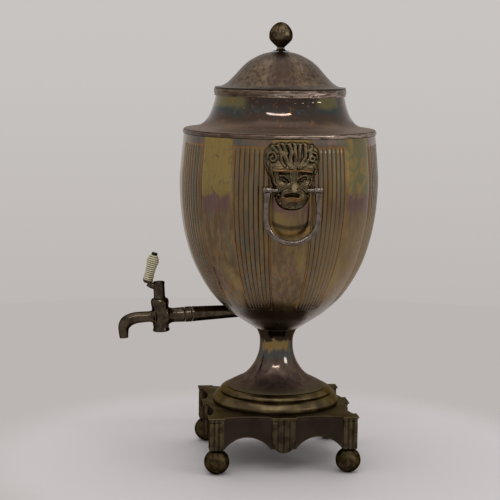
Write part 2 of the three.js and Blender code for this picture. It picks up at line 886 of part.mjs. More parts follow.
// Mounds of the mask's relief: middle across and up, spread across and up, share of the full relief
const maskMounds = [
  [0, 12, 19, 12, 0.5], // forehead
  [0, 1, 4, 10, 0.3], // bridge of the nose
  [-9.5, 5, 6, 3, 0.2], // brows
  [9.5, 5, 6, 3, 0.2],
  [-9, -1.5, 4.5, 3, -0.14], // eye hollows
  [9, -1.5, 4.5, 3, -0.14],
  [0, -14, 4, 6, 0.3], // nose
  [-8, -19, 8, 9, 0.6], // muzzle
  [8, -19, 8, 9, 0.6],
  [0, -31, 10, 5, 0.35], // chin
  [-17, -3, 8, 10, 0.3], // cheeks
  [17, -3, 8, 10, 0.3],
];

/** Height of the relief over the mask's ground at [across, up]. */
function maskReliefAt(across, up) {
  const heights = maskMounds.map(([acrossMiddle, upMiddle, acrossSpread, upSpread, share]) => {
    const sideways = (across - acrossMiddle) / acrossSpread;
    const upward = (up - upMiddle) / upSpread;
    return share * Math.exp(-(sideways ** 2) - upward ** 2);
  });
  const whole = heights.reduce((sum, height) => sum + height, 0);
  return maskRelief * THREE.MathUtils.clamp(whole, 0, 1);
}

function buildMasks() {
  const edge = maskEdgeLine();
  const ground = (across, up) => {
    const radius = bodyRadiusAt(maskZ + up) + maskStandOff;
    return Math.sqrt(radius ** 2 - across ** 2);
  };
  const ringAt = (share, standOff) =>
    edge.map(([edgeAcross, edgeUp]) => {
      const across = edgeAcross * share;
      const up = edgeUp * share;
      return new THREE.Vector3(ground(across, up) + standOff(across, up), across, maskZ + up);
    });
  const onBody = () => 0;
  const proud = (across, up) => maskEdge + maskReliefAt(across, up);
  const rings = [
    ringAt(0.4, onBody).reverse(),
    ringAt(0.75, onBody).reverse(),
    ringAt(1, onBody).reverse(),
    ringAt(1, () => maskEdge).reverse(),
    ...[0.86, 0.7, 0.54, 0.38, 0.2].map((share) => ringAt(share, proud).reverse()),
  ];
  const back = new THREE.Vector3(ground(0, 0), 0, maskZ);
  const front = new THREE.Vector3(ground(0, 0) + proud(0, 0), 0, maskZ);
  const blank = lofted(back, rings, front);
  const barHole = roundBar(barRadius + seatGap, -2 * maskHalfWidth, 2 * maskHalfWidth, 12)
    .rotateX(Math.PI / 2)
    .translate(pivotX, 0, pivotZ);
  const mask = cut(blank, barHole);
  addPiece(urn, "lion_mask_right", mask, tarnishedSilver);
  addPiece(urn, "lion_mask_left", mask, tarnishedSilver).rotation.z = Math.PI;
}

const knuckleOut = bailHalfWidth + knuckleLength / 2;

function buildBails() {
  const headIn = knuckleOut + seatGap;
  const headOut = headIn + barHeadThickness;
  const halfBar = [
    [barRadius, headIn],
    [barHeadRadius, headIn],
    [barHeadRadius * 0.8, headOut],
  ];
  const barOutline = [
    [0, -headOut],
    ...halfBar.map(([radius, along]) => [radius, -along]).reverse(),
    ...halfBar,
    [0, headOut],
  ];
  const bar = turned(barOutline, 12).rotateX(Math.PI / 2);

  const knuckleAt = (side) =>
    roundBar(knuckleRadius, -knuckleLength / 2, knuckleLength / 2, 14)
      .rotateX(Math.PI / 2)
      .translate(0, side * bailHalfWidth, 0);
  const boreAt = (side) =>
    roundBar(barRadius + runningGap, -knuckleLength, knuckleLength, 12)
      .rotateX(Math.PI / 2)
      .translate(0, side * bailHalfWidth, 0);
  const collarAt = (side) =>
    turned(
      [
        [0, -bailCollarLength],
        [bailWireRadius, -bailCollarLength],
        [knuckleRadius, -bailCollarLength + 2.2],
        [knuckleRadius, -1],
        [0, -1],
      ],
      10,
    ).translate(0, side * bailHalfWidth, 0);
  const bendRadius = bailHalfWidth + bailBow;
  const bend = arc(0, -bailArm, bendRadius, 180, 360, 8);
  const armMiddle = [bailHalfWidth + 0.7 * bailBow, -bailArm / 2];
  const wireLine = [[-bailHalfWidth, -3], [-armMiddle[0], armMiddle[1]], ...bend, armMiddle];
  wireLine.push([bailHalfWidth, -3]);
  const wire = barAlong(wireLine, () => bailWireRadius, 18, 8).rotateZ(Math.PI / 2);
  const whole = joined(wire, knuckleAt(1), knuckleAt(-1), collarAt(1), collarAt(-1));
  const bail = cut(whole, boreAt(1), boreAt(-1));

  for (const [name, turn] of [["right", 0], ["left", Math.PI]]) {
    const side = new THREE.Group();
    side.rotation.z = turn;
    urn.add(side);
    addPiece(side, `bail_pivot_${name}`, bar, tarnishedSilver).position.set(pivotX, 0, pivotZ);
    addPiece(side, `bail_${name}`, bail, tarnishedSilver).position.set(pivotX, 0, pivotZ);
  }
}

function buildPipe() {
  const outline = [
    [pipeBore, pipeStartX],
    [pipeInnerRadius, pipeStartX],
    [pipeOuterRadius, pipeEndX],
    [pipeBore, pipeEndX],
  ];
  addPiece(tap, "outlet_pipe", alongX(turnedRing(outline, smallSides)), tapBronze);

  const ringNear = -tailLength - seatGap;
  const ringInner = pipeBore - runningGap;
  const ringOutline = [
    [ringInner, ringFarX],
    [jointRingRadius - softEdge, ringFarX],
    [jointRingRadius, ringFarX + softEdge],
    [jointRingRadius, ringNear - softEdge],
    [jointRingRadius - softEdge, ringNear],
    [ringInner, ringNear],
  ];
  addPiece(tap, "pipe_joint_ring", alongX(turnedRing(ringOutline, smallSides)), oldBronze);
}

const spoutLine = [
  [0, 0],
  [0.45 * spoutReach, 0],
  [0.68 * spoutReach, -0.5],
  [0.87 * spoutReach, -0.15 * spoutDrop],
  [0.975 * spoutReach, -0.37 * spoutDrop],
  [spoutReach, -0.65 * spoutDrop],
  [spoutReach, -spoutDrop],
];

/** Spout radius along its length: slender at the barrel, full at the bend, drawn in at the mouth. */
function spoutRadiusAt(share) {
  if (share < 0.62) return THREE.MathUtils.lerp(spoutRootRadius, spoutBendRadius, (share / 0.62) ** 1.5);
  return THREE.MathUtils.lerp(spoutBendRadius, spoutEndRadius, (share - 0.62) / 0.38);
}

/** Plug radius at a height in the barrel. */
function plugRadiusAt(height) {
  return THREE.MathUtils.mapLinear(height, plugShoulderZ, barrelAbove, plugFootRadius, plugTopRadius);
}

const plugShoulderZ = -barrelBelow + skirtDepth;
const skirtRadius = barrelRadius - skirtWall;

function buildTapBody() {
  const barrelOutline = [
    [0, -barrelBelow],
    [barrelRadius - 0.3, -barrelBelow],
    [barrelRadius + 0.3, -barrelBelow + 1.6],
    [barrelRadius - 0.6, -barrelBelow + 4],
    [barrelRadius, -barrelBelow + 9],
    [barrelRadius, barrelAbove - 7],
    [barrelLipRadius, barrelAbove - 5.6],
    [barrelLipRadius, barrelAbove - 1.6],
    [barrelRadius - 0.4, barrelAbove],
    [0, barrelAbove],
  ];
  const barrel = turned(barrelOutline, smallSides);
  const spigotRadius = pipeBore - seatGap;
  const tailOutline = [
    [0, -tailLength - jointRingLength - spigotLength],
    [spigotRadius, -tailLength - jointRingLength - spigotLength],
    [spigotRadius, -tailLength],
    [pipeOuterRadius - 0.4, -tailLength],
    [tailRadius, -tailLength * 0.45],
    [tailRadius, 0],
    [0, 0],
  ];
  const tail = alongX(turned(tailOutline, smallSides));
  const spout = barAlong(spoutLine, spoutRadiusAt, 10, 12);

  const tailBore = alongX(roundBar(waterBore, -tailLength - jointRingLength - 2 * spigotLength, 0, 10));
  const boreLine = [...spoutLine, [spoutReach, -spoutDrop - 2]];
  const spoutBore = barAlong(boreLine, () => waterBore, 10, 8);
  const plugBore = turned(
    [
      [0, -barrelBelow - 1],
      [skirtRadius, -barrelBelow - 1],
      [skirtRadius, plugShoulderZ],
      [plugRadiusAt(plugShoulderZ) + runningGap, plugShoulderZ],
      [plugRadiusAt(barrelAbove + 1) + runningGap, barrelAbove + 1],
      [0, barrelAbove + 1],
    ],
    smallSides,
  );
  const tapBody = cut(joined(barrel, tail, spout), plugBore, tailBore, spoutBore);
  addPiece(tap, "tap_body", tapBody, tapBronze);
}

// The grip's frame: origin at the grip's foot on its axis, +Z up the grip.

const plugHeadTop = barrelAbove + seatGap + plugHeadHeight;
const gripReach = plugHeadRadius - plugHeadChamfer + gripFootRadius * Math.cos(gripLean) + 2 * seatGap;
const grip = new THREE.Group();
grip.position.set(gripReach, 0, plugHeadTop + gripFootAboveHead);
grip.rotation.y = -gripLean;
grip.updateMatrix();
tap.add(grip);
const tangTop = gripLength + seatGap + gripCapHeight - 1;

function buildPlug() {
  const screwBore = plugScrewRadius + seatGap;
  const headBottom = barrelAbove + seatGap;
  const plugOutline = [
    [0, plugShoulderZ],
    [plugRadiusAt(plugShoulderZ), plugShoulderZ],
    [plugRadiusAt(headBottom), headBottom],
    [plugHeadRadius, headBottom],
    [plugHeadRadius, plugHeadTop - plugHeadChamfer],
    [plugHeadRadius - plugHeadChamfer, plugHeadTop],
    [0, plugHeadTop],
  ];
  const stock = turned(plugOutline, smallSides);
  const armFoot = grip.position.z - 2.2;
  const armLine = [
    [0, plugHeadTop - 6.2],
    [plugHeadRadius, plugHeadTop - 4.6],
    [gripReach * 0.9, plugHeadTop - 1.8],
    [gripReach, armFoot],
  ];
  const arm = barAlong(armLine, () => keyArmRadius, 5, 10);
  const tang = turned(
    [
      [0, -2],
      [tangCollarRadius, -2],
      [tangCollarRadius, -seatGap],
      [tangRadius, -seatGap],
      [tangRadius, tangTop],
      [0, tangTop],
    ],
    12,
  ).applyMatrix4(grip.matrix);
  const crossBore = roundBar(waterBore, -2 * plugTopRadius, 2 * plugTopRadius, 12).rotateX(Math.PI / 2);
  const screwHole = roundBar(screwBore, plugShoulderZ - 1, plugShoulderZ + plugScrewLength, 10);
  addPiece(tap, "tap_plug", cut(joined(stock, arm, tang), crossBore, screwHole), tapBronze);

  const washerTop = plugShoulderZ - seatGap;
  const washerBottom = washerTop - plugWasherThickness;
  const washerRadius = skirtRadius - plugWasherClearance;
  const washer = roundTube(screwBore, washerRadius, washerBottom, washerTop, smallSides);
  addPiece(tap, "plug_washer", washer, oldBronze);

  const screwHeadTop = washerBottom - seatGap;
  const screwOutline = [
    [0, screwHeadTop - plugScrewHeadHeight],
    [plugScrewHeadRadius * 0.8, screwHeadTop - plugScrewHeadHeight],
    [plugScrewHeadRadius, screwHeadTop - plugScrewHeadHeight / 2],
    [plugScrewHeadRadius, screwHeadTop],
    [plugScrewRadius, screwHeadTop],
    [plugScrewRadius, plugShoulderZ + plugScrewLength - seatGap],
    [0, plugShoulderZ + plugScrewLength - seatGap],
  ];
  addPiece(tap, "plug_screw", turned(screwOutline, 14), oldBronze);
}

function buildGrip() {
  const bore = tangRadius + seatGap;
  const outer = smooth(
    [
      [gripFootRadius, 1.2],
      [gripWaistRadius + 0.25, 0.19 * gripLength],
      [gripWaistRadius, 0.31 * gripLength],
      [gripBellyRadius - 0.8, 0.56 * gripLength],
      [gripBellyRadius, 0.76 * gripLength],
      [gripBellyRadius - 0.9, 0.89 * gripLength],
      [gripTopRadius, gripLength],
    ],
    8,
  );
  const outline = [[bore, 0], [gripFootRadius, 0], ...outer, [bore, gripLength]];
  addPiece(grip, "key_grip", turnedRing(outline, 16), ivory);

  const capBottom = gripLength + seatGap;
  const capTop = capBottom + gripCapHeight;
  const capOutline = [
    [0, tangTop + seatGap],
    [bore, tangTop + seatGap],
    [bore, capBottom],
    [gripCapRadius, capBottom],
    [gripCapRadius, capTop - softEdge],
    [gripCapRadius - softEdge, capTop],
    [0, capTop],
  ];
  addPiece(grip, "grip_cap", turned(capOutline, 14), blackened);
}

function buildHeater() {
  const bossZ = bodyInside[0][1] + seatGap;
  const floorZ = bossZ + sleeveBossHeight;
  const sleeveTop = floorZ + sleeveHeight;
  const sleeveOutline = [
    [0, bossZ],
    [sleeveBossRadius, bossZ],
    [sleeveBossRadius, floorZ],
    [sleeveRadius, floorZ],
    [sleeveRadius, sleeveTop],
    [sleeveRadius - sleeveWall, sleeveTop],
    [sleeveRadius - sleeveWall, floorZ + sleeveWall],
    [0, floorZ + sleeveWall],
  ];
  addPiece(urn, "heater_sleeve", turned(sleeveOutline, middleSides), tinned);

  const ironZ = floorZ + sleeveWall + seatGap;
  const ironTop = ironZ + ironLength;
  const rodTop = ironTop + ironRodLength;
  const ironOutline = [
    [0, ironZ],
    [ironRadius - 2, ironZ],
    [ironRadius, ironZ + 2],
    [ironRadius, ironTop - 2],
    [ironRadius - 2, ironTop],
    [ironRodRadius, ironTop],
    [ironRodRadius, rodTop],
    [0, rodTop],
  ];
  const eye = new THREE.TorusGeometry(ironEyeRadius, ironEyeWire, 6, 12)
    .rotateX(Math.PI / 2)
    .translate(0, 0, rodTop + ironEyeRadius);
  addPiece(urn, "heater_iron", joined(turned(ironOutline, smallSides), eye), forgedIron);

  const coverZ = sleeveTop + seatGap;
  const coverTop = coverZ + coverThickness;
  const skirtOuter = sleeveRadius - sleeveWall - 2 * seatGap;
  const coverOutline = [
    [0, coverZ],
    [skirtOuter - coverThickness, coverZ],
    [skirtOuter - coverThickness, coverZ - coverSkirt],
    [skirtOuter, coverZ - coverSkirt],
    [skirtOuter, coverZ],
    [sleeveRadius + coverRim, coverZ],
    [sleeveRadius + coverRim, coverTop],
    [coverKnobRadius * 0.5, coverTop],
    [coverKnobRadius, coverTop + coverKnobHeight * 0.6],
    [coverKnobRadius * 0.6, coverTop + coverKnobHeight],
    [0, coverTop + coverKnobHeight],
  ];
  addPiece(urn, "sleeve_cover", turned(coverOutline, smallSides), tinned);
}

buildFeet();
buildPlinth();
buildPlinthPlate();
buildFootRings();
buildStem();
buildBody();
buildShoulderAndNeck();
buildLid();
buildFinial();
buildMasks();
buildBails();
buildPipe();
buildTapBody();
buildPlug();
buildGrip();
buildHeater();

// The origin is on the floor, below the middle of the whole urn's length from spout to back.
urn.updateMatrixWorld(true);
const extent = new THREE.Box3().setFromObject(urn, true);
urn.position.y = -(extent.min.y + extent.max.y) / 2;

export default urn;
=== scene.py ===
# Tea urn: finer pieces, materials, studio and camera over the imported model.
# Sizes here are in millimetres and turn into metres as each mesh is made. +X is the near mask's side,
# -Y the tap's side and +Z up.

import json
import math
import bmesh
import bpy
from mathutils import Matrix, Vector, noise


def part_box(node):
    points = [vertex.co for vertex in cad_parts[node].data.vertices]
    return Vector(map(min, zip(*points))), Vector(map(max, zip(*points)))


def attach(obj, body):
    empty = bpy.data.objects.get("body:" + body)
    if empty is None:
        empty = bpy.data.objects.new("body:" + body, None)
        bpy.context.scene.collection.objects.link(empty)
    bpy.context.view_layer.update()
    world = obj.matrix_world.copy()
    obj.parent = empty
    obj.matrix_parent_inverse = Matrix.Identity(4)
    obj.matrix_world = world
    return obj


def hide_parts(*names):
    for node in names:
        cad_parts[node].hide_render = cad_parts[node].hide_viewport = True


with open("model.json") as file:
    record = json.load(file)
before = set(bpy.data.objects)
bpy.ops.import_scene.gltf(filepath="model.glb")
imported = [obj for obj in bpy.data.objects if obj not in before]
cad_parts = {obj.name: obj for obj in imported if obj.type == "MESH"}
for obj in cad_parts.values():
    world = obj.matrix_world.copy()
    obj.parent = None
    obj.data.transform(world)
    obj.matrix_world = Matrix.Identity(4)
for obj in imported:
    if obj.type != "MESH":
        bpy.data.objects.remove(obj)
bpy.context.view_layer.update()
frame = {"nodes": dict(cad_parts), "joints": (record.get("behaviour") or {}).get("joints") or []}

MM = 0.001


def span(node):
    """Lowest and highest corner of a CAD node, in millimetres."""
    low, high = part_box(node)
    return low / MM, high / MM


def middle(node):
    """Middle of a CAD node's box."""
    low, high = span(node)
    return (low + high) / 2


def rise(node):
    """Lowest and highest level of a CAD node."""
    low, high = span(node)
    return low.z, high.z


def room(node):
    """Radius and lowest and highest level of a CAD node that is turned about the urn's axis."""
    low, high = span(node)
    return (high.x - low.x) / 2, low.z, high.z


AXIS = Vector((0, middle("body_shell").y, 0))  # where the urn's axis meets the floor
ON_AXIS = Matrix.Translation(AXIS)
JOINTS = {joint["name"]: joint for joint in frame["joints"]}
CORNERS = ["back_right", "back_left", "front_left", "front_right"]
SIDES = ["right", "back", "left", "front"]

# Body
BELLY_RADIUS, _, BODY_HIGH = room("body_shell")
BODY_LOW = rise("body_bowl")[0]
BODY_FOOT_RADIUS = 22.6
BODY_WALL = 1.5
SHOULDER_RADIUS = 97.8
PANEL_PITCH = 45  # degrees, for eight plain panels and eight reeded ones between them
PLAIN_HALF = 11.25  # degrees from a plain panel's middle to its edge
FILLET_WIDTH = 1.15  # degrees, the raised line at each edge of a reeded panel
REEDS_START = PLAIN_HALF + FILLET_WIDTH
REEDS_IN_PANEL = 7
REED_PITCH = (PANEL_PITCH - 2 * REEDS_START) / REEDS_IN_PANEL
REED_DEPTH = 0.9
REED_TOP = BODY_HIGH - 9
REED_FOOT = BODY_LOW + 29
REED_END = 3.2  # length of the rounded end of each reed

# Neck and lid
NECK_LOW, NECK_HIGH = rise("neck")
MOUTH_RADIUS = 65.9
LID_LOW = rise("lid_dome")[0]
FLUTE_COUNT = 32
FLUTE_DEPTH = 0.35
DOME_FLAT_RADIUS = 9
DOME_BORDER = 8.4
PETAL_COUNT = 14
PETAL_DEPTH = 0.42

# Stem and plinth
STEM_WAIST = 17.2
STEM_TOP = 21.3
PLINTH_HALF = span("corner_post_back_right")[1].x
POST_LOW, POST_HIGH = rise("corner_post_back_right")
POST_INNER = PLINTH_HALF - 14.2
POST_REED_DEPTH = 1.1
PANEL_THICKNESS = 2
PANEL_FACE = PLINTH_HALF - 3.2
SCALLOP_DEPTH = 4.6
ARCH_RISE = 11.5
ARCH_MARGIN = 0.7
boss_low, boss_high = span("reeded_boss_right")
BOSS_BACK, BOSS_FACE = boss_low.x, boss_high.x
BOSS_HALF = (boss_high.y - boss_low.y) / 2
SEAT_GAP = 0.3
BALL_RADIUS = 12.9

# Tap
TAP_TAIL = 24.7
BARREL_RADIUS = 8.5
BARREL_LIP = 9.2
BARREL_ABOVE = 18.3
BARREL_BELOW = 15.8
SPOUT_REACH = 38.7
SPOUT_DROP = 20.3
SPOUT_BORE = 3.6
PLUG_HEAD_RADIUS = 6.15
PLUG_HEAD_TOP = BARREL_ABOVE + SEAT_GAP + 17.4
GRIP_LEAN = math.radians(17.4)
GRIP_LENGTH = 27.3
GRIP_RING_COUNT = 13
GRIP_RING_DEPTH = 0.6
CAP_LOW = GRIP_LENGTH + SEAT_GAP

# Mask and bail
MASK_MIDDLE = rise("lion_mask_right")[1] - 28.4
MASK_LIMIT = max(span("lion_mask_right")[1].x, span("bail_right")[1].x) - 0.2
MASK_STAND_OFF = 0.9
BAIL_PIVOT_LEVEL = JOINTS["bail_right_swing"]["pos_m"][2] / MM
BAIL_HALF_WIDTH = 24.4
BAIL_BOW = 0.9
BAIL_WIRE = 2.55
KNUCKLE_RADIUS = 3.3
KNUCKLE_HALF = 3.6
BAR_RADIUS = 1.8
BAR_HEAD_RADIUS = 2.9
HIDDEN_BAR = 13.5  # half the length of the pivot bar that the muzzle covers

# Studio tones
WALL_LOW = (187, 182, 179)
WALL_HIGH = (200, 196, 193)
WORLD_LIGHT = (222, 219, 216)
FLOOR_TONE = (202, 198, 200)
FLOOR_FADE = (250, 340)  # distances from the axis between which the floor fades away
DARK_EDGE = (130, 124, 112)
SOFT_EDGE = (190, 182, 164)

# Camera
CAMERA_DISTANCE = 1585.7
CAMERA_HEIGHT = 433.6
CAMERA_AZIMUTH = math.radians(-7.2)  # of the camera from +X about the urn's axis
CAMERA_PITCH = math.radians(7.785)
CAMERA_YAW = math.radians(-1.03)
CAMERA_ROLL = math.radians(0.75)
FOCAL_PIXELS = 1551.9
PHOTO_WIDTH = 500
SENSOR_WIDTH = 36


# The tap's own frame: its origin is on the barrel's axis, +X runs out along the pipe, +Z up the barrel


def tap_frame():
    joint = JOINTS["tap_key"]
    up = Vector(joint["axis"]).normalized()
    side = Vector((1, 0, 0))
    matrix = Matrix((side.cross(up), side, up)).transposed().to_4x4()
    matrix.translation = Vector(joint["pos_m"]) / MM
    return matrix


TAP_FRAME = tap_frame()
ALONG_X = Matrix.Rotation(math.pi / 2, 4, "Y")
GRIP_OUT = PLUG_HEAD_RADIUS - 0.9 + 5.5 * math.cos(GRIP_LEAN) + 2 * SEAT_GAP
GRIP_FOOT = Matrix.Translation((GRIP_OUT, 0, PLUG_HEAD_TOP + 1.6))
GRIP_FRAME = TAP_FRAME @ GRIP_FOOT @ Matrix.Rotation(-GRIP_LEAN, 4, "Y")


# Outlines and meshes


def smooth(points, steps=6):
    """Smooth line through the points, with that many steps from one to the next."""
    points = [Vector(point) for point in points]
    last = len(points) - 1
    line = []
    for index in range(last):
        start, end = points[index], points[index + 1]
        leave = (end - points[max(index - 1, 0)]) / 2
        arrive = (points[min(index + 2, last)] - start) / 2
        cubic = 2 * start - 2 * end + leave + arrive
        square = -3 * start + 3 * end - 2 * leave - arrive
        for step in range(steps):
            t = step / steps
            line.append(((cubic * t + square) * t + leave) * t + start)
    return [*line, points[last]]


def eased(outline, radius, steps=3, closed=True):
    """Outline with each sharp corner rounded over that distance."""
    outline = [Vector(point) for point in outline]
    count = len(outline)
    result = []
    for index, corner in enumerate(outline):
        arriving = corner - outline[index - 1]
        leaving = outline[(index + 1) % count] - corner
        at_end = index in (0, count - 1) and not closed
        if at_end or corner.x < 1e-6 or arriving.angle(leaving, 0) < math.radians(25):
            result.append(corner)
            continue
        first = corner - arriving.normalized() * min(radius, 0.45 * arriving.length)
        last = corner + leaving.normalized() * min(radius, 0.45 * leaving.length)
        for step in range(steps + 1):
            t = step / steps
            result.append(first.lerp(corner, t).lerp(corner.lerp(last, t), t))
    return result


def fitted(shares, inner, outer, low, high):
    """Outline from shares of the way from one radius to another and from one level to another."""
    return [(inner + out * (outer - inner), low + up * (high - low)) for out, up in shares]


def beside(radius, level, *steps):
    """Outline from distances beside one radius and above one level."""
    return [(radius + out, level + up) for out, up in steps]


def offset_left(outline, distance):
    """Copy of an open outline, moved to its left."""
    result = []
    for index, point in enumerate(outline):
        before = outline[max(index - 1, 0)]
        after = outline[min(index + 1, len(outline) - 1)]
        result.append(point + (after - before).normalized().orthogonal() * distance)
    return result


def inset_outline(outline, distance):
    """Closed outline that runs anticlockwise, drawn in by a distance."""
    result = []
    for index, point in enumerate(outline):
        arriving = (point - outline[index - 1]).normalized()
        leaving = (outline[(index + 1) % len(outline)] - point).normalized()
        along = (arriving + leaving).normalized()
        widen = min(1 / max(along.dot(arriving), 0.5), 1.6)
        result.append(point + along.orthogonal() * distance * widen)
    return result


def around(radius, height, angle):
    """Point at a radius and height, that many degrees about Z."""
    turn = math.radians(angle)
    return Vector((radius * math.cos(turn), radius * math.sin(turn), height))


def half_round(share):
    """Height of a half round at a share of its half width, 1 at its middle and 0 at its edge."""
    return math.sqrt(max(0.0, 1 - share * share))


def valley(angle, count):
    """Depth between half rounds that stand side by side round a circle, 0 on each crest."""
    across = (angle * count / 360) % 1 * 2 - 1
    return 1 - half_round(0.97 * across)


def dent(place, size, depth):
    """Small smooth hollow, never proud, that wanders over a surface."""
    return depth * (0.5 + 0.5 * noise.noise(place / size))


def wander(size, depth):
    """Shallow hollows all over a turned form."""
    return lambda place, radius, height, angle: dent(place, size, depth)


def band(lower, upper):
    """Faces between two rings of points. A ring of one point is a pole."""
    faces = []
    count = max(len(lower), len(upper))
    for index in range(count):
        after = (index + 1) % count
        if len(lower) == 1:
            faces.append((lower[0], upper[after], upper[index]))
        elif len(upper) == 1:
            faces.append((lower[index], lower[after], upper[0]))
        else:
            faces.append((lower[index], lower[after], upper[after], upper[index]))
    return faces


def rings_to_mesh(rings, closed=False):
    """Points and faces of a skin over rings of points."""
    points, rows, faces = [], [], []
    for ring in rings:
        rows.append(list(range(len(points), len(points) + len(ring))))
        points.extend(ring)
    if closed:
        rows.append(rows[0])
    for lower, upper in zip(rows, rows[1:]):
        faces.extend(band(lower, upper))
    return points, faces


def turned(outline, count=96, pressed=None, skin=0, angles=None):
    """Turned form about Z. pressed(place, radius, height, degrees) is how far the first skin points go in."""
    angles = angles or [360 * index / count for index in range(count)]
    outline = [Vector(point) for point in outline]
    rings = []
    for index, point in enumerate(outline):
        radius, height = point
        if radius < 1e-6:
            rings.append([Vector((0, 0, height))])
        elif index < skin:
            along = (outline[min(index + 1, skin - 1)] - outline[max(index - 1, 0)]).normalized()
            ring = []
            for angle in angles:
                push = pressed(around(radius, height, angle), radius, height, angle)
                ring.append(around(radius - along.y * push, height + along.x * push, angle))
            rings.append(ring)
        else:
            rings.append([around(radius, height, angle) for angle in angles])
    return rings_to_mesh(rings, closed=len(rings[0]) > 1)


def tube_rings(path, radius_at, sides):
    """Rings of a round bar along a path. radius_at takes the share of the way along."""
    last = len(path) - 1
    side = None
    rings = []
    for index, centre in enumerate(path):
        along = (path[min(index + 1, last)] - path[max(index - 1, 0)]).normalized()
        side = side or along.orthogonal().normalized()
        side = (side - along * side.dot(along)).normalized()
        other = along.cross(side)
        radius = radius_at(index / last)
        ring = []
        for step in range(sides):
            turn = 2 * math.pi * step / sides
            ring.append(centre + side * radius * math.cos(turn) + other * radius * math.sin(turn))
        rings.append(ring)
    return rings


def tube(path, radius_at, sides):
    """Round bar along a path, closed at both ends."""
    return rings_to_mesh([[path[0]], *tube_rings(path, radius_at, sides), [path[-1]]])


def prism(outline, bottom, top, bevel):
    """Upright form over a flat outline, with its top and bottom edges rounded."""
    rounding = [(bevel * (1 - math.sin(turn)), bevel * (1 - math.cos(turn)))
                for turn in map(math.radians, (0, 30, 60, 90))]
    levels = [(inset, bottom + up) for inset, up in rounding]
    levels += [(inset, top - down) for down, inset in rounding]
    rings = []
    for inset, level in levels:
        rings.append([Vector((*point, level)) for point in inset_outline(outline, inset)])
    points, faces = rings_to_mesh(rings)
    count = len(outline)
    faces.append(tuple(reversed(range(count))))
    faces.append(tuple(range(len(points) - count, len(points))))
    return points, faces


def slab(front, rear, rows):
    """Closed form between two faces, each a grid of points that runs up one column after another."""
    stride, half = rows + 1, len(front)
    faces = []
    for first in range(half - stride):
        across = first + stride
        if first % stride < rows:
            faces.append((first, across, across + 1, first + 1))
            faces.append((half + first, half + first + 1, half + across + 1, half + across))
        if first % stride in (0, rows):
            faces.append((first, half + first, half + across, across))
    for first in (*range(rows), *range(half - stride, half - 1)):
        faces.append((first, first + 1, half + first + 1, half + first))
    return front + rear, faces


def moved(form, matrix):
    """Form with its points moved by a matrix."""
    points, faces = form
    return [matrix @ point for point in points], faces


def together(*forms):
    """One form from several."""
    points, faces = [], []
    for form_points, form_faces in forms:
        start = len(points)
        points.extend(form_points)
        faces.extend(tuple(start + index for index in face) for face in form_faces)
    return points, faces


def add_object(name, data):
    """Object in the scene with that data."""
    made = bpy.data.objects.new(name, data)
    bpy.context.scene.collection.objects.link(made)
    return made


def add_piece(node, form, look, place=ON_AXIS, body="urn", covers=(), sharp=38):
    """Finer mesh that rides on a body in place of a CAD node, or of the nodes that it covers."""
    name = f"{node}_fine"
    points, faces = form
    mesh = bpy.data.meshes.new(name)
    mesh.from_pydata([place @ point * MM for point in points], [], faces)
    work = bmesh.new()
    work.from_mesh(mesh)
    bmesh.ops.recalc_face_normals(work, faces=work.faces)
    work.to_mesh(mesh)
    work.free()
    mesh.shade_smooth()
    mesh.set_sharp_from_angle(angle=math.radians(sharp))
    piece = add_object(name, mesh)
    material, slot = look
    mesh.materials.append(material)
    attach(piece, body)
    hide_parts(*(covers or [node]))


def add_round(node, form, look, names, sharp=38):
    """Copies of a form that faces +X, evenly round the urn's axis."""
    for index, name in enumerate(names):
        turn = Matrix.Rotation(index * 2 * math.pi / len(names), 4, "Z")
        add_piece(f"{node}_{name}", form, look, ON_AXIS @ turn, sharp=sharp)


# Materials


def tone(red, green, blue):
    """Colour from its sRGB parts."""
    parts = []
    for value in (red, green, blue):
        share = value / 255
        parts.append(share / 12.92 if share <= 0.04045 else ((share + 0.055) / 1.055) ** 2.4)
    return (*parts, 1.0)


def operation(name):
    """Method that puts a Value, and a second one where there is one, through a maths node."""
    return lambda self, other=0.0: self.nodes.node("Math", {0: self, 1: other}, operation=name)


class Value:
    """Output of a node, with the sums and steps that the materials make of it."""

    __add__, __sub__ = operation("ADD"), operation("SUBTRACT")
    __mul__, __truediv__ = operation("MULTIPLY"), operation("DIVIDE")
    __abs__, whole, fraction = operation("ABSOLUTE"), operation("ROUND"), operation("FRACT")
    root, larger, arc = operation("SQRT"), operation("MAXIMUM"), operation("ARCTAN2")

    def __init__(self, nodes, socket):
        self.nodes = nodes
        self.socket = socket

    def step(self, start, end):
        """Smooth step, 0 at start and 1 at end."""
        ends = {"Value": self, "From Min": start, "From Max": end}
        return self.nodes.node("MapRange", ends, interpolation_type="SMOOTHSTEP")

    def window(self, low, high, soft):
        """1 between low and high, and 0 outside them."""
        return self.step(low - soft, low + soft) * self.step(high + soft, high - soft)

    def between(self, low, high):
        """Value from low to high as this one goes from 0 to 1."""
        return self.nodes.node("MapRange", {"Value": self, "To Min": low, "To Max": high})


def distance(across, up):
    """Length of a line, from Values for its two parts."""
    return (across * across + up * up).root()


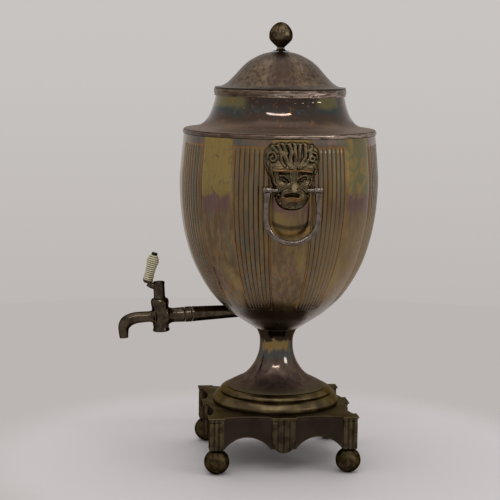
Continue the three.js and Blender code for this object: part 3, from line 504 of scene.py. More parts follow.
class Nodes:
    """Short calls for the nodes of a material or a world."""

    def __init__(self, tree):
        self.tree = tree

    def put(self, socket, value):
        """Links a socket to a Value, or sets a plain value on it."""
        if isinstance(value, Value):
            self.tree.links.new(value.socket, socket)
        else:
            socket.default_value = value

    def node(self, kind, inputs, output=0, **settings):
        """New node with those inputs and settings. Gives one of its outputs."""
        made = self.tree.nodes.new("ShaderNode" + kind)
        for name, setting in settings.items():
            setattr(made, name, setting)
        for name, value in inputs.items():
            self.put(made.inputs[name], value)
        return Value(self, made.outputs[output])

    def mix(self, share, first, second):
        return self.node("Mix", {0: share, 6: first, 7: second}, 2, data_type="RGBA")

    def blend(self, share, first, second):
        """Mix of two sRGB colours."""
        return self.mix(share, tone(*first), tone(*second))

    def looked_at(self):
        """1 for what the camera or a glossy face sees, 0 for the light that falls on things."""
        camera = self.node("LightPath", {}, "Is Camera Ray")
        return camera.larger(self.node("LightPath", {}, "Is Glossy Ray"))


class Shade(Nodes):
    """A material. Its base colour is built up by tints, and its sizes are in millimetres."""

    def __init__(self, name, metallic=1.0, edge=None):
        self.material = bpy.data.materials.new(name)
        self.material.use_nodes = True
        super().__init__(self.material.node_tree)
        self.shader = self.tree.nodes["Principled BSDF"].inputs
        self.shader["Metallic"].default_value = metallic
        if edge:
            self.shader["Specular Tint"].default_value = tone(*edge)
        own_place = self.node("TexCoord", {}, "Object")
        self.place = self.node("VectorMath", {0: own_place, 1: AXIS * MM}, operation="SUBTRACT")
        self.x, self.y, self.z = [self.node("SeparateXYZ", {0: self.place}, axis) / MM for axis in "XYZ"]

    def noise(self, size, detail=3.0, wide=1, tall=1, shift=0.0, twist=0.0):
        """Noise with spots of about that size, drawn out across and up."""
        location = (shift, shift * 0.7, shift * 1.3)
        inputs = {"Vector": self.place, "Location": location, "Scale": (1 / wide, 1 / wide, 1 / tall)}
        place = self.node("Mapping", inputs)
        inputs = {"Vector": place, "Scale": 1 / (size * MM), "Detail": detail, "Distortion": twist}
        return self.node("TexNoise", inputs, "Fac")

    def tint(self, colour, amount, *shares):
        """Takes the base towards a colour where all the shares meet."""
        for share in shares:
            amount = share * amount
        self.base = self.mix(amount, self.base, colour if isinstance(colour, Value) else tone(*colour))

    def angle(self):
        """Angle round the urn's axis from the near mask, in degrees."""
        return self.y.arc(self.x) * (180 / math.pi)

    def pointiness(self):
        return self.node("NewGeometry", {}, "Pointiness")

    def grazing(self, start, end):
        """1 where the face is seen edge on, 0 where it is seen straight on."""
        return self.node("LayerWeight", {}, "Facing").step(start, end)

    def finish(self, rough, relief, depth):
        """Sets the base colour, the roughness and a fine relief, and gives the material."""
        self.put(self.shader["Base Color"], self.base)
        self.put(self.shader["Roughness"], rough)
        self.put(self.shader["Normal"], self.node("Bump", {"Distance": depth * MM, "Height": relief}))
        return self.material


def body_silver():
    """Tarnished plate of the body: streaks, coloured films, dark reed valleys, a painted dark reflection
    underneath and painted pale sheen at its edges and on its right side.
    """
    shade = Shade("body_silver")
    z, angle = shade.z, shade.angle()
    mottled = shade.noise(5, 4, tall=9, shift=0.3).step(0.3, 0.7)
    shade.base = shade.blend(mottled, (108, 90, 68), (138, 117, 88))
    shade.tint((98, 80, 62), 0.8, shade.noise(1.6, tall=14, shift=1.7).step(0.45, 0.75))
    blotches = shade.noise(26, tall=1.8, shift=4.1, twist=0.6)
    shade.tint((152, 130, 84), 0.6, blotches.step(0.5, 0.68))
    shade.tint((116, 92, 90), 0.5, shade.noise(13, tall=2.4, shift=7.7, twist=1).step(0.56, 0.68))
    shade.tint((92, 104, 96), 0.5, shade.noise(11, tall=3, shift=12.5, twist=0.8).step(0.6, 0.72))

    # Yellow film high on the plain panels over a purple one, and rusty spots lower down
    turns = angle / PANEL_PITCH
    from_middle = abs(turns - turns.whole()) * PANEL_PITCH
    plain = from_middle.step(PLAIN_HALF - 0.6, PLAIN_HALF - 1.4)
    ragged = shade.noise(9, 4, shift=21, twist=1.2)
    waver = z + (ragged - 0.5) * 26
    yellow = plain * waver.step(BODY_HIGH - 60, BODY_HIGH - 50) * ragged.step(0.3, 0.45)
    shade.tint((118, 88, 92), 0.6, plain, waver.window(BODY_HIGH - 72, BODY_HIGH - 54, 5))
    shade.tint((154, 134, 78), 0.7, yellow)
    green = shade.noise(15, shift=40, twist=1).step(0.4, 0.55)
    shade.tint((104, 108, 86), 0.7, yellow, angle.step(10, 20), green)
    rusty = z.window(BODY_LOW + 30, BODY_HIGH - 80, 18)
    shade.tint((156, 106, 66), 0.45, plain, rusty, ragged.step(0.58, 0.68))

    # Dark arc round the level of the bails' pivot and a yellow arc just outside it, on the panels under the
    # masks
    below_pivot = z - BAIL_PIVOT_LEVEL
    away = distance(shade.y, below_pivot)
    by_mask = shade.y.window(-19, 19, 1.5) * below_pivot.step(-20, -30)
    shade.tint((62, 50, 36), 0.75, by_mask, away.window(35.6, 39.6, 1.2))
    shade.tint((170, 136, 74), 0.7, by_mask, away.window(41, 46.5, 1.5), ragged.step(0.35, 0.5))

    # Reeds, their dark valleys and the worn lines beside and above them
    beside_plain = from_middle.step(PLAIN_HALF - 1, PLAIN_HALF)
    from_crest = abs(((from_middle - REEDS_START) / REED_PITCH).fraction() - 0.5)
    reeded = from_middle.step(REEDS_START - 0.2, REEDS_START + 0.2) * z.window(REED_FOOT, REED_TOP, 1)
    reed_streaks = shade.noise(3.4, 2, tall=24, shift=31).step(0.42, 0.6)
    shade.tint(shade.blend(reed_streaks, (126, 98, 64), (104, 104, 94)), 0.5, reeded)
    shade.tint((62, 48, 36), 0.7, reeded, from_crest.step(0.3, 0.48))
    worn = shade.noise(30, 2, tall=2, shift=9.1).step(0.3, 0.5)
    shade.tint((150, 100, 56), 0.5, from_middle.window(PLAIN_HALF, REEDS_START, 0.3), worn)
    shade.tint((150, 104, 62), 0.6, z.window(REED_TOP + 0.2, REED_TOP + 1.7, 0.4), beside_plain)
    top_films = shade.noise(9, 2, wide=2, tall=0.6, shift=17).step(0.4, 0.6)
    over_reeds = z.step(REED_TOP + 1.6, REED_TOP + 3)
    shade.tint(shade.blend(top_films, (112, 92, 92), (88, 98, 98)), 0.6, over_reeds, beside_plain)

    # Painted light: a dark reflection on the underside, pale sheen where the face is seen edge on, and paler
    # sheen low on the right side
    shade.tint((62, 50, 38), 0.9, (z + (ragged - 0.5) * 14).step(BODY_LOW + 38, BODY_LOW + 24))
    shade.tint((172, 162, 150), 0.75, shade.grazing(0.45, 0.9))
    right_side_sheen = angle.window(20, 90, 16) * z.step(BODY_HIGH - 60, BODY_HIGH - 100)
    shade.tint((160, 136, 100), 0.45, right_side_sheen, z.step(BODY_LOW + 30, BODY_LOW + 50))
    rough = blotches.step(0.3, 0.7).between(0.2, 0.34)
    return shade.finish(rough, shade.noise(2.2, 4, tall=3, shift=2.2), 0.03)


def plate_silver(name, dark, light, patch, rough, edge=None):
    """Tarnished plate with soft clouds, thin wiping marks and small spots."""
    shade = Shade(name, edge=edge)
    clouds = shade.noise(6, 4, shift=3.3, twist=0.5)
    shade.base = shade.blend(clouds.step(0.35, 0.65), dark, light)
    shade.tint(dark, 0.35, shade.noise(2.4, wide=3, tall=0.8, shift=8.8).step(0.5, 0.75))
    shade.tint(patch, 0.5, shade.noise(3, 2, shift=14).step(0.62, 0.72))
    return shade.finish(clouds.between(*rough), shade.noise(1.8, 4, shift=1.1), 0.02)


def lid_silver():
    """Dull brown plate of the lid, streaked up and down, with a dark purple patch of painted reflection over
    each mask and a painted shadow line at its lower edge.
    """
    shade = Shade("lid_silver")
    clouds = shade.noise(11, 4, shift=3.3, twist=0.6)
    shade.base = shade.blend(clouds.step(0.35, 0.65), (88, 74, 60), (112, 96, 80))
    shade.tint((64, 50, 38), 0.7, shade.noise(3.2, tall=3.5, shift=8.8).step(0.46, 0.62))
    shade.tint((120, 96, 66), 0.35, shade.noise(8, shift=15, twist=0.8).step(0.56, 0.68))
    # Dark purple patches of painted reflection over the masks
    shade.tint((66, 52, 48), 0.8, shade.angle().window(-20, 12, 10), clouds.step(0.3, 0.5))
    shade.tint((70, 56, 50), 0.75, shade.angle().window(140, 176, 12), clouds.step(0.3, 0.5))
    # Painted shadow line along the lower edge of the flange
    shade.tint((44, 36, 30), 0.85, shade.z.step(LID_LOW + 1.5, LID_LOW + 0.5))
    return shade.finish(clouds.between(0.3, 0.42), shade.noise(1.8, 4, shift=1.1), 0.03)


def neck_silver():
    """Dark glossy plate of the neck, with green, teal, purple and brown films in ragged level bands, and
    painted reflections at its foot.
    """
    shade = Shade("neck_silver")
    low, high = NECK_LOW, NECK_HIGH
    angle = shade.angle()
    level = shade.z + (shade.noise(22, tall=0.6, shift=5.5, twist=0.7) - 0.5) * 12
    # Painted reflections at the foot: darker on the side that faces the camera, paler at the very foot
    shade.base = shade.blend(angle.window(-38, 26, 14), (120, 100, 82), (82, 67, 60))
    shade.tint((124, 106, 90), 0.8, shade.z.step(low + 6, low + 3))
    shade.tint((86, 71, 62), 1, level.step(low + 4, low + 13))
    shade.tint((70, 68, 68), 0.7, level.step(low + 13, low + 22))
    shade.tint((68, 56, 50), 0.85, level.step(high - 20, high - 12))
    for start, end in ((-100, -38), (27, 52), (118, 160)):
        in_patch = angle.window(start, end, 5)
        shade.tint((62, 80, 80), 0.7, in_patch, level.window(high - 24, high - 17, 4))
        shade.tint((118, 112, 78), 0.8, in_patch, level.step(high - 21, high - 15))
    green = level.step(high - 21, high - 16) * shade.noise(17, tall=0.7, shift=2).step(0.42, 0.52)
    shade.tint((118, 110, 78), 0.6, green, abs(angle).step(55, 75))
    shade.tint((146, 100, 58), 0.5, shade.noise(5, shift=10, twist=0.8).step(0.6, 0.7))
    shade.tint((84, 100, 106), 0.45, shade.noise(6, shift=25, twist=0.8).step(0.6, 0.7))
    return shade.finish(shade.z.step(low + 16, low + 4).between(0.07, 0.5), shade.noise(4, shift=1.4), 0.03)


def old_bronze(name, dark, light, worn, rough=(0.32, 0.5), size=9, wear=0.5, relief=0.06, edge=DARK_EDGE):
    """Cast bronze with a dark olive skin that is worn to brass on its edges."""
    shade = Shade(name, edge=edge)
    clouds, point = shade.noise(size, 4, shift=2.6, twist=0.4), shade.pointiness()
    grain = shade.noise(1.3, shift=6.1)
    shade.base = shade.blend(clouds.step(0.36, 0.64), dark, light)
    shade.tint(dark, 0.4, grain.step(0.5, 0.72))
    shade.tint(worn, wear, point.step(0.52, 0.6), clouds.step(0.3, 0.55))
    shade.tint((26, 21, 16), 0.6, point.step(0.48, 0.42))
    return shade.finish(clouds.between(*rough), grain, relief)


def band_silver():
    """Plate of the two bands: streaked along, dark towards the tap, pale on the near side."""
    shade = Shade("band_silver")
    streaks = shade.noise(9, 4, wide=1.6, tall=0.2, shift=3.3, twist=0.5)
    shade.base = shade.blend(shade.angle().window(-8, 60, 18), (112, 96, 82), (172, 154, 142))
    shade.tint((76, 62, 52), 0.8, streaks.step(0.56, 0.4))
    return shade.finish(streaks.between(0.2, 0.36), shade.noise(1.8, 4, shift=1.1), 0.03)


def stem_silver():
    """Plate of the stem: a painted black reflection at its neck, ragged yellow under that, purple-brown
    below, an olive foot.
    """
    shade = Shade("stem_silver", edge=(200, 190, 180))
    low, high = rise("pedestal_stem")
    ragged = shade.noise(7, 4, tall=2, shift=3.3, twist=0.8)
    level = shade.z + (ragged - 0.5) * 20
    facing = shade.angle().window(-62, 40, 12)
    shade.base = shade.blend(ragged.step(0.35, 0.65), (84, 70, 64), (104, 90, 80))
    shade.tint((92, 84, 64), 0.8, shade.z.step(low + 7, low + 2))
    shade.tint((76, 84, 86), 0.6, level.window(high - 30, high - 12, 4))
    shade.tint((152, 128, 74), 0.75, facing, level.window(high - 21, high - 11, 3))
    shade.tint((150, 96, 52), 0.6, facing, level.window(high - 19, high - 13, 3), ragged.step(0.52, 0.6))
    # Painted dark reflection round the top of the stem
    shade.tint((44, 34, 26), 0.9, level.step(high - 13, high - 9))
    rough = shade.z.step(low + 26, low + 6).between(0.12, 0.5)
    return shade.finish(rough, shade.noise(1.8, 4, shift=1.1), 0.02)


def mask_silver():
    """Stamped silver of the masks: dull, dark in its hollows, warm on brows and lips, with a painted
    highlight on the nose.
    """
    shade = Shade("mask_silver", edge=(150, 140, 120))
    clouds, point = shade.noise(7, 4, shift=3.9), shade.pointiness()
    up = shade.z - MASK_MIDDLE
    shade.base = shade.blend(clouds.step(0.35, 0.65), (80, 69, 51), (106, 92, 69))
    shade.tint((84, 92, 74), 0.5, shade.noise(6, shift=19).step(0.54, 0.66))
    shade.tint((150, 100, 56), 0.5, up.window(0, 2.4, 0.8), shade.y.window(-18, 17, 3))
    shade.tint((146, 96, 52), 0.5, up.window(-28, -24, 1.5), shade.y.window(-9, 8, 3))
    # Painted highlight on the nose
    from_nose = distance((shade.y - 1.4) * 1.5, up + 15)
    shade.tint((176, 162, 128), 0.75, from_nose.step(5.5, 2.5), point.step(0.44, 0.5))
    shade.tint((38, 30, 22), 0.7, point.step(0.49, 0.43))
    shade.tint((160, 146, 114), 0.5, point.step(0.51, 0.58))
    return shade.finish(clouds.between(0.26, 0.4), shade.noise(1.2, shift=0.6), 0.06)


def ivory_turning():
    """Old ivory of the grip with dark dirt in its turned rings."""
    shade = Shade("ivory", metallic=0.0)
    foot, up = GRIP_FRAME.translation - AXIS, GRIP_FRAME.to_3x3().col[2]
    along = shade.x * up.x - foot.dot(up) + shade.y * up.y + shade.z * up.z
    turn = (along * (GRIP_RING_COUNT / GRIP_LENGTH)).fraction()
    yellowed = shade.noise(7, tall=3, shift=4.4).step(0.35, 0.65)
    shade.base = shade.blend(yellowed, (212, 205, 176), (182, 170, 134))
    shade.tint((48, 38, 26), 0.92, abs(turn - 0.5).step(0.22, 0.36))
    shade.tint((70, 54, 34), 0.8, along.step(1.6, 0.6))
    return shade.finish(0.42, shade.noise(0.8, 2, shift=0.2), 0.02)


def plain_metal(name, dark, light, rough, metallic, size, edge=None):
    """Workaday metal with clouds and a fine grain."""
    shade = Shade(name, metallic, edge)
    clouds = shade.noise(size, 4, shift=1.9)
    shade.base = shade.blend(clouds.step(0.35, 0.65), dark, light)
    return shade.finish(clouds.between(*rough), shade.noise(0.9, shift=5), 0.05)


# Looks: each material with the name of its slot
BODY = (body_silver(), "tarnished_silver")
NECK = (neck_silver(), "dark_silver")
LID = (lid_silver(), "tarnished_silver")
BAND = (band_silver(), "tarnished_silver")
STEM = (stem_silver(), "dark_silver")
FINIAL = (plate_silver("finial_silver", (52, 42, 34), (104, 90, 70), (34, 26, 22), (0.26, 0.4), DARK_EDGE),
          "dark_silver")
BRIGHT = (plate_silver("bail_silver", (104, 93, 86), (136, 124, 115), (84, 75, 70), (0.07, 0.12)),
          "tarnished_silver")
MASK = (mask_silver(), "tarnished_silver")
BRONZE = (old_bronze("plinth_bronze", (54, 46, 36), (80, 70, 54), (124, 106, 72)), "old_bronze")
RINGS = (old_bronze("ring_bronze", (78, 67, 50), (108, 94, 66), (130, 112, 76), (0.26, 0.4), 14, 0.3, 0.03,
                    SOFT_EDGE), "old_bronze")
PANEL = (old_bronze("panel_bronze", (50, 42, 35), (58, 49, 41), (82, 71, 54), (0.4, 0.5), 24, 0.3, 0.03),
         "old_bronze")
PLATE = (old_bronze("plate_bronze", (68, 59, 48), (84, 74, 60), (124, 108, 80), (0.4, 0.5), 20, 0.5, 0.03,
                    SOFT_EDGE), "old_bronze")
BALL = (old_bronze("ball_bronze", (48, 39, 26), (82, 70, 48), (110, 94, 64), (0.34, 0.5), 5, 0.3),
        "old_bronze")
TAP = (old_bronze("tap_bronze", (62, 54, 45), (88, 77, 63), (124, 106, 74), (0.09, 0.18), 8, 0.5, 0.012),
       "tap_bronze")
IVORY = (ivory_turning(), "ivory")
BLACK = (plain_metal("blackened_cap", (20, 18, 17), (34, 31, 28), (0.35, 0.5), 0.4, 3, DARK_EDGE),
         "blackened")
TINNED = (plain_metal("tinned_metal", (118, 116, 108), (150, 148, 140), (0.35, 0.55), 1.0, 10), "tinned")
IRON = (plain_metal("forged_iron", (42, 38, 36), (66, 58, 52), (0.6, 0.8), 0.8, 5), "forged_iron")


# Body outline, as shares of the way from foot to belly radius and from foot to shoulder
BODY_SWELL = [
    (0, 0), (0.182, 0.047), (0.359, 0.097), (0.586, 0.188), (0.795, 0.328),
    (0.915, 0.469), (0.979, 0.608), (1, 0.754), (0.982, 0.869),
]


def body_line(steps):
    """Outside of the body, from its foot to its shoulder."""
    knots = fitted(BODY_SWELL, BODY_FOOT_RADIUS, BELLY_RADIUS, BODY_LOW, BODY_HIGH)
    return smooth([*knots, (SHOULDER_RADIUS, BODY_HIGH)], steps)


BODY_LINE = body_line(14)


def body_radius(height):
    """Outside radius of the body at a height."""
    for lower, upper in zip(BODY_LINE, BODY_LINE[1:]):
        if height <= upper.y:
            share = (height - lower.y) / (upper.y - lower.y)
            return lower.x + share * (upper.x - lower.x)
    return BODY_LINE[-1].x


def body_angles():
    """Angles round the body, finer over the reeds, in degrees from the near mask."""
    reeds_end = PANEL_PITCH - REEDS_START
    stretches = [
        (-PLAIN_HALF, PLAIN_HALF, 16), (PLAIN_HALF, REEDS_START, 4),
        (REEDS_START, reeds_end, REEDS_IN_PANEL * 6), (reeds_end, PANEL_PITCH - PLAIN_HALF, 4),
    ]
    one = [start + (end - start) * index / steps for start, end, steps in stretches for index in range(steps)]
    return [panel + angle for panel in range(0, 360, PANEL_PITCH) for angle in one]


def reed_hollow(place, radius, height, angle):
    """How far the body's face is pressed in beside and between the reeds."""
    hollow = dent(place, 38, 0.35)
    from_middle = abs((angle / PANEL_PITCH + 0.5) % 1 - 0.5) * PANEL_PITCH
    if from_middle < PLAIN_HALF - 0.01 or height > REED_TOP + 1.6 or height < REED_FOOT - 1:
        return hollow
    if height > REED_TOP + 0.4:
        return hollow + 0.35 * half_round((height - REED_TOP - 1.0) / 0.6)
    depth = REED_DEPTH * min(1, radius / 90)
    if from_middle < PLAIN_HALF + FILLET_WIDTH:
        across = (from_middle - PLAIN_HALF) / FILLET_WIDTH * 2 - 1
        return hollow + depth * 0.8 * (1 - half_round(across))
    across = ((from_middle - PLAIN_HALF - FILLET_WIDTH) / REED_PITCH) % 1 * 2 - 1
    to_end = min(REED_TOP - height, height - REED_FOOT)
    room_left = half_round(1 - min(1, max(0, to_end) / REED_END))
    if room_left < 0.05 or abs(across) >= room_left:
        return hollow + depth
    return hollow + depth * (1 - room_left * half_round(across / room_left))


def make_body():
    inside = offset_left(body_line(3), BODY_WALL)
    inside[-1] = Vector((SHOULDER_RADIUS - BODY_WALL, BODY_HIGH))
    outline = [*BODY_LINE, *reversed(inside)]
    wall = turned(outline, pressed=reed_hollow, skin=len(BODY_LINE), angles=body_angles())
    edge = BODY_FOOT_RADIUS + 0.2
    bottom = turned([(0, BODY_LOW), (edge, BODY_LOW), (edge, BODY_LOW + 2), (0, BODY_LOW + 2)])
    add_piece("body", together(wall, bottom), BODY, covers=("body_bowl", "body_shell"))


def make_shoulder_band():
    radius, low, high = room("shoulder_band")
    edge = eased([(radius - 3.2, low), (radius, low), (radius, high), (radius - 3.2, high)], 1.4, 5)
    add_piece("shoulder_band", turned(edge, 160), BAND)


# Knocks in the neck: angle, depth below the mouth, width and depth
NECK_KNOCKS = [
    (4, 11, 6, 1.3), (16, 12, 7, 1.6), (27, 11, 5, 1.2), (36, 13, 5, 1.0),
    (-40, 12, 8, 0.6), (140, 12, 7, 1.0),
]


def knocks(place, radius, height, angle):
    """How far the neck is knocked in."""
    depth = dent(place, 30, 0.5)
    for knock_angle, below_mouth, wide, deep in NECK_KNOCKS:
        along = math.radians((angle - knock_angle + 180) % 360 - 180) * radius / wide
        up = (height - NECK_HIGH + below_mouth) / (0.6 * wide)
        depth += deep * math.exp(-along * along - up * up)
    return depth


def make_neck():
    low, high = NECK_LOW, NECK_HIGH
    flat = SHOULDER_RADIUS - 1.3
    shares = [(0.6, 0.076), (0.39, 0.15), (0.27, 0.25), (0.17, 0.39), (0.095, 0.53), (0.04, 0.67), (0, 0.8)]
    curve = [(flat, low + 1.2), *fitted(shares, MOUTH_RADIUS, flat, low, high)]
    outside = [(SHOULDER_RADIUS, low), (SHOULDER_RADIUS, low + 0.5), *smooth(curve, 7)]
    outside += [(MOUTH_RADIUS, low + (high - low) * share) for share in (0.85, 0.9, 0.95, 1)]
    inside = [point for point in reversed(offset_left(smooth(curve, 3), BODY_WALL)) if point.y > low + 2]
    rest = [(MOUTH_RADIUS - BODY_WALL, high), *inside, (SHOULDER_RADIUS - BODY_WALL - 1, low)]
    add_piece("neck", turned([*outside, *rest], 240, knocks, len(outside)), NECK)


def make_mouth_band():
    radius, low, high = room("mouth_band")

    def crumple(place, at_radius, height, angle):
        spot = around(9, height / 2.4, angle)
        rough = 0.5 + 0.6 * noise.noise(spot) + 0.5 * abs(noise.noise(spot * 2.3))
        share = math.sin(math.pi * (height - low) / (high - low))
        knocked = 0.5 + 0.5 * math.exp(-(((angle - 28 + 180) % 360 - 180) / 40) ** 2)
        return 1.1 * min(1, max(0, rough)) * knocked * (0.35 + 0.65 * share)

    bead = beside(radius, low, (-1.2, 0), (-0.5, 0.2), (-0.3, 0.7), (-0.6, 1.2), (-0.8, 1.5))
    strip = [(radius, low + 1.9 + (high - low - 2.4) * step / 12) for step in range(13)]
    face = [*bead, *strip, (radius - 0.5, high)]
    form = turned([*face, (radius - 1.3, high), (radius - 1.3, low)], 300, crumple, len(face))
    add_piece("mouth_band", form, BAND)


def make_lid():
    flange_radius, low, high = room("lid_dome")
    flange_top = low + 1.2
    shares = [
        (1.06, 0.018), (0.985, 0.066), (0.9, 0.155), (0.77, 0.335),
        (0.595, 0.595), (0.44, 0.765), (0.2, 0.93), (0, 1),
    ]
    knots = fitted(shares, DOME_FLAT_RADIUS, MOUTH_RADIUS - DOME_BORDER, flange_top, high)
    flange = [(flange_radius, low), (flange_radius, flange_top), (knots[0][0] + 2, flange_top)]
    rim = eased(flange, 0.4, closed=False)
    outside = [*rim, *smooth(knots, 10)]
    inside = list(reversed(offset_left(smooth(knots, 3), 1.2)))
    inside[-1].y = low

    def flutes(place, radius, height, angle):
        hollow = dent(place, 24, 0.4 if radius < 55 else 0.15)
        if height < flange_top + 2:
            return hollow
        start = min(1, max(0, (radius - 11) / 10))
        end = half_round(1 - min(1, max(0, (51.5 - radius) / 4)))
        return hollow + FLUTE_DEPTH * start * end * valley(angle, FLUTE_COUNT)

    outline = [*outside, (2.5, high), (2.5, high - 1.2), *inside]
    add_piece("lid_dome", turned(outline, FLUTE_COUNT * 12, flutes, len(outside)), LID, body="lid")


def make_finial():
    radius, low, high = room("finial_collar")
    flare = smooth([(radius, low + 0.4), (radius * 0.66, low + 0.9), (4.5, low + 1.8), (3.9, high)], 5)
    collar = turned([(2.5, low), (radius, low), *flare, (2.5, high)], 64)
    add_piece("finial_collar", collar, FINIAL, body="lid")

    radius, stud_low, top = room("finial_bud")
    foot = high + SEAT_GAP
    shares = [
        (0.325, 0.04), (0.62, 0.16), (0.93, 0.32), (1, 0.48),
        (0.93, 0.66), (0.66, 0.85), (0.32, 0.965), (0, 1),
    ]
    bud = smooth(fitted(shares, 0, radius, foot, top), 7)
    outline = [(0, stud_low), (2.2, stud_low), (2.2, foot), (3.9, foot), *bud]

    def petals(place, at_radius, height, angle):
        return PETAL_DEPTH * at_radius / radius * valley(angle, PETAL_COUNT) if height >= foot + 1 else 0

    add_piece("finial_bud", turned(outline, PETAL_COUNT * 8, petals, len(outline)), FINIAL, body="lid")


def make_stem():
    foot, low, high = room("pedestal_stem")
    flare = [
        (0.925, 0.042), (0.78, 0.086), (0.52, 0.16), (0.335, 0.25),
        (0.182, 0.37), (0.088, 0.48), (0.02, 0.61), (0, 0.76),
    ]
    knots = fitted(flare, STEM_WAIST, foot, low, high)
    knots += fitted([(0.2, 0.87), (1, 1)], STEM_WAIST, STEM_TOP, low, high)
    outside = [(foot - 0.3, low), (foot, low + 0.4), *smooth(knots, 9)]
    outline = [*outside, (8, high), (8, low + 4), (foot - 2, low)]
    add_piece("pedestal_stem", turned(outline, 144, wander(20, 0.25), len(outside)), STEM)


def make_foot_rings():
    bead_radius, bead_low, bead_high = room("foot_bead")
    radius, low, high = room("foot_rim")
    nose = beside(radius, low, (-0.8, 0), (0, 1.6), (0, 4.4), (-1.2, 6.6))
    shelf = [nose[-1], (radius - 3, low + 9.2), (bead_radius + 0.7, high)]
    outline = [(radius - 14, low), *smooth(nose, 5), *smooth(shelf, 4)[1:], (radius - 14, high)]
    add_piece("foot_rim", turned(outline, 200), RINGS)

    nose = beside(bead_radius, bead_low, (-0.6, 0), (0, 1.6), (-1.2, 3.6), (-4.2, bead_high - bead_low))
    outline = [(bead_radius - 10, bead_low), *smooth(nose, 6), (bead_radius - 10, bead_high)]
    add_piece("foot_bead", turned(outline, 200), RINGS)


# Plinth, with each side's plan facing +X as (outward, along) pairs


def scallop(along):
    """Outward place of the scalloped panel face at a distance along the side."""
    distance_along = abs(along)
    if distance_along <= BOSS_HALF:
        return PANEL_FACE
    centre = (POST_INNER + BOSS_HALF) / 2
    share = (distance_along - centre) / (POST_INNER - centre)
    return PANEL_FACE - SCALLOP_DEPTH * (1 - share * share)


def reed_row(face, start, end, count, depth, steps=8):
    """Row of half-round reeds along a face."""
    pitch = (end - start) / count
    line = []
    for index in range(count * steps):
        share = index % steps / steps * 2 - 1
        line.append(Vector((face - depth * (1 - half_round(share * 0.98)), start + index / steps * pitch)))
    return [*line, Vector((face - depth, end))]


def make_posts():
    outward = reed_row(PLINTH_HALF, POST_INNER, PLINTH_HALF, 3, POST_REED_DEPTH)
    outward[-1].y -= POST_REED_DEPTH
    sideways = [point.yx for point in reversed(outward[:-1])]
    outline = [Vector((POST_INNER, POST_INNER)), *outward, *sideways]
    collar_low = POST_HIGH - 3.6
    shaft = prism(outline, POST_LOW, collar_low, 0.5)
    waist = prism(inset_outline(outline, 1.0), collar_low - 0.6, collar_low + 1.0, 0.2)
    cap = prism(outline, collar_low + 0.6, POST_HIGH, 0.6)
    add_round("corner_post", together(shaft, waist, cap), BRONZE, CORNERS)


def make_panels():
    """Scalloped sides, each with its two arches."""
    low, high = rise("plinth_panel_right")
    end = span("plinth_panel_right")[1].y - AXIS.y
    arch_half = (POST_INNER - BOSS_HALF) / 2 - ARCH_MARGIN
    arch_middle = (POST_INNER + BOSS_HALF) / 2
    arch_radius = (arch_half ** 2 + ARCH_RISE ** 2) / (2 * ARCH_RISE)
    columns, rows = 96, 6
    front, rear = [], []
    for column in range(columns + 1):
        along = -end + 2 * end * column / columns
        out = scallop(along)
        away = abs(along) - arch_middle
        bottom = low
        if abs(away) < arch_half:
            bottom = low + ARCH_RISE - arch_radius + math.sqrt(arch_radius ** 2 - away ** 2)
        for row in range(rows + 1):
            level = bottom + (high - bottom) * row / rows
            front.append(Vector((out, along, level)))
            rear.append(Vector((out - PANEL_THICKNESS, along, level)))
    add_round("plinth_panel", slab(front, rear, rows), PANEL, SIDES)


def make_bosses():
    """Reeded bosses with rounded tips and a worn line across the top."""
    low, high = rise("reeded_boss_right")
    columns, rows = 64, 30
    front, rear = [], []
    for place in reed_row(BOSS_FACE, -BOSS_HALF, BOSS_HALF, 4, 1.3, columns // 4):
        bottom = low + BOSS_HALF - BOSS_HALF * half_round(place.y / BOSS_HALF * 0.999)
        for row in range(rows + 1):
            level = bottom + (high - bottom) * row / rows
            drop = 0.9 * max(0, 1 - (level - bottom) / 5) ** 2
            worn_line = 0.7 if 2.4 < high - level < 3.3 else 0
            front.append(Vector((place.x - drop - worn_line, place.y, level)))
            rear.append(Vector((BOSS_BACK, place.y, level)))
    add_round("reeded_boss", slab(front, rear, rows), BRONZE, SIDES, sharp=55)


def make_plate():
    rim, low, high = room("plinth_plate")
    overhang = rim - PLINTH_HALF
    post_edge, boss_edge = POST_INNER - overhang, BOSS_HALF + overhang
    side = [Vector((rim, -rim)), Vector((rim, -post_edge))]
    for step in range(13):
        along = -post_edge + (post_edge - BOSS_HALF) * step / 12
        side.append(Vector((scallop(along) + overhang, along)))
    side.append(Vector((BOSS_FACE + overhang, -boss_edge)))
    side += [Vector((point.x, -point.y)) for point in reversed(side[1:])]
    outline = []
    for index in range(4):
        turn = Matrix.Rotation(index * math.pi / 2, 2)
        outline += [turn @ point for point in side]
    add_piece("plinth_plate", prism(outline, low, high, 0.5), PLATE)


def make_balls():
    """Ball feet with a flat bottom and a short collar on top."""
    low, high = rise("foot_ball_back_right")
    flat = 3.0
    centre = low + math.sqrt(BALL_RADIUS ** 2 - flat ** 2)
    start = math.atan2(low - centre, flat)
    end = math.atan2(high - centre, 2.3)
    arc = []
    for step in range(33):
        angle = start + (end - start) * step / 32
        arc.append((BALL_RADIUS * math.cos(angle), centre + BALL_RADIUS * math.sin(angle)))
    outline = [(0, low), *arc, (0, high)]
    form = turned(outline, 64, wander(3.5, 0.25), len(outline))
    for name in ("front_right", "back_right", "back_left", "front_left"):
        place = middle(f"foot_ball_{name}")
        add_piece(f"foot_ball_{name}", form, BALL, Matrix.Translation((place.x, place.y, 0)))


# Lion mask for the +X side, as (across, up) from its middle

# Right half of the mask's edge, from the top of the mane down to the beard
MASK_EDGE = [
    (0, 28.3), (6.5, 27.6), (12, 28), (16.5, 26.2), (20, 26.5), (23.4, 23.2), (25.5, 21), (27.3, 14),
    (26.4, 6), (24.4, -1), (22.4, -6), (19.5, -12), (18, -18), (17, -24), (15.5, -29), (12, -34),
    (6, -37.2), (0, -37.6),
]

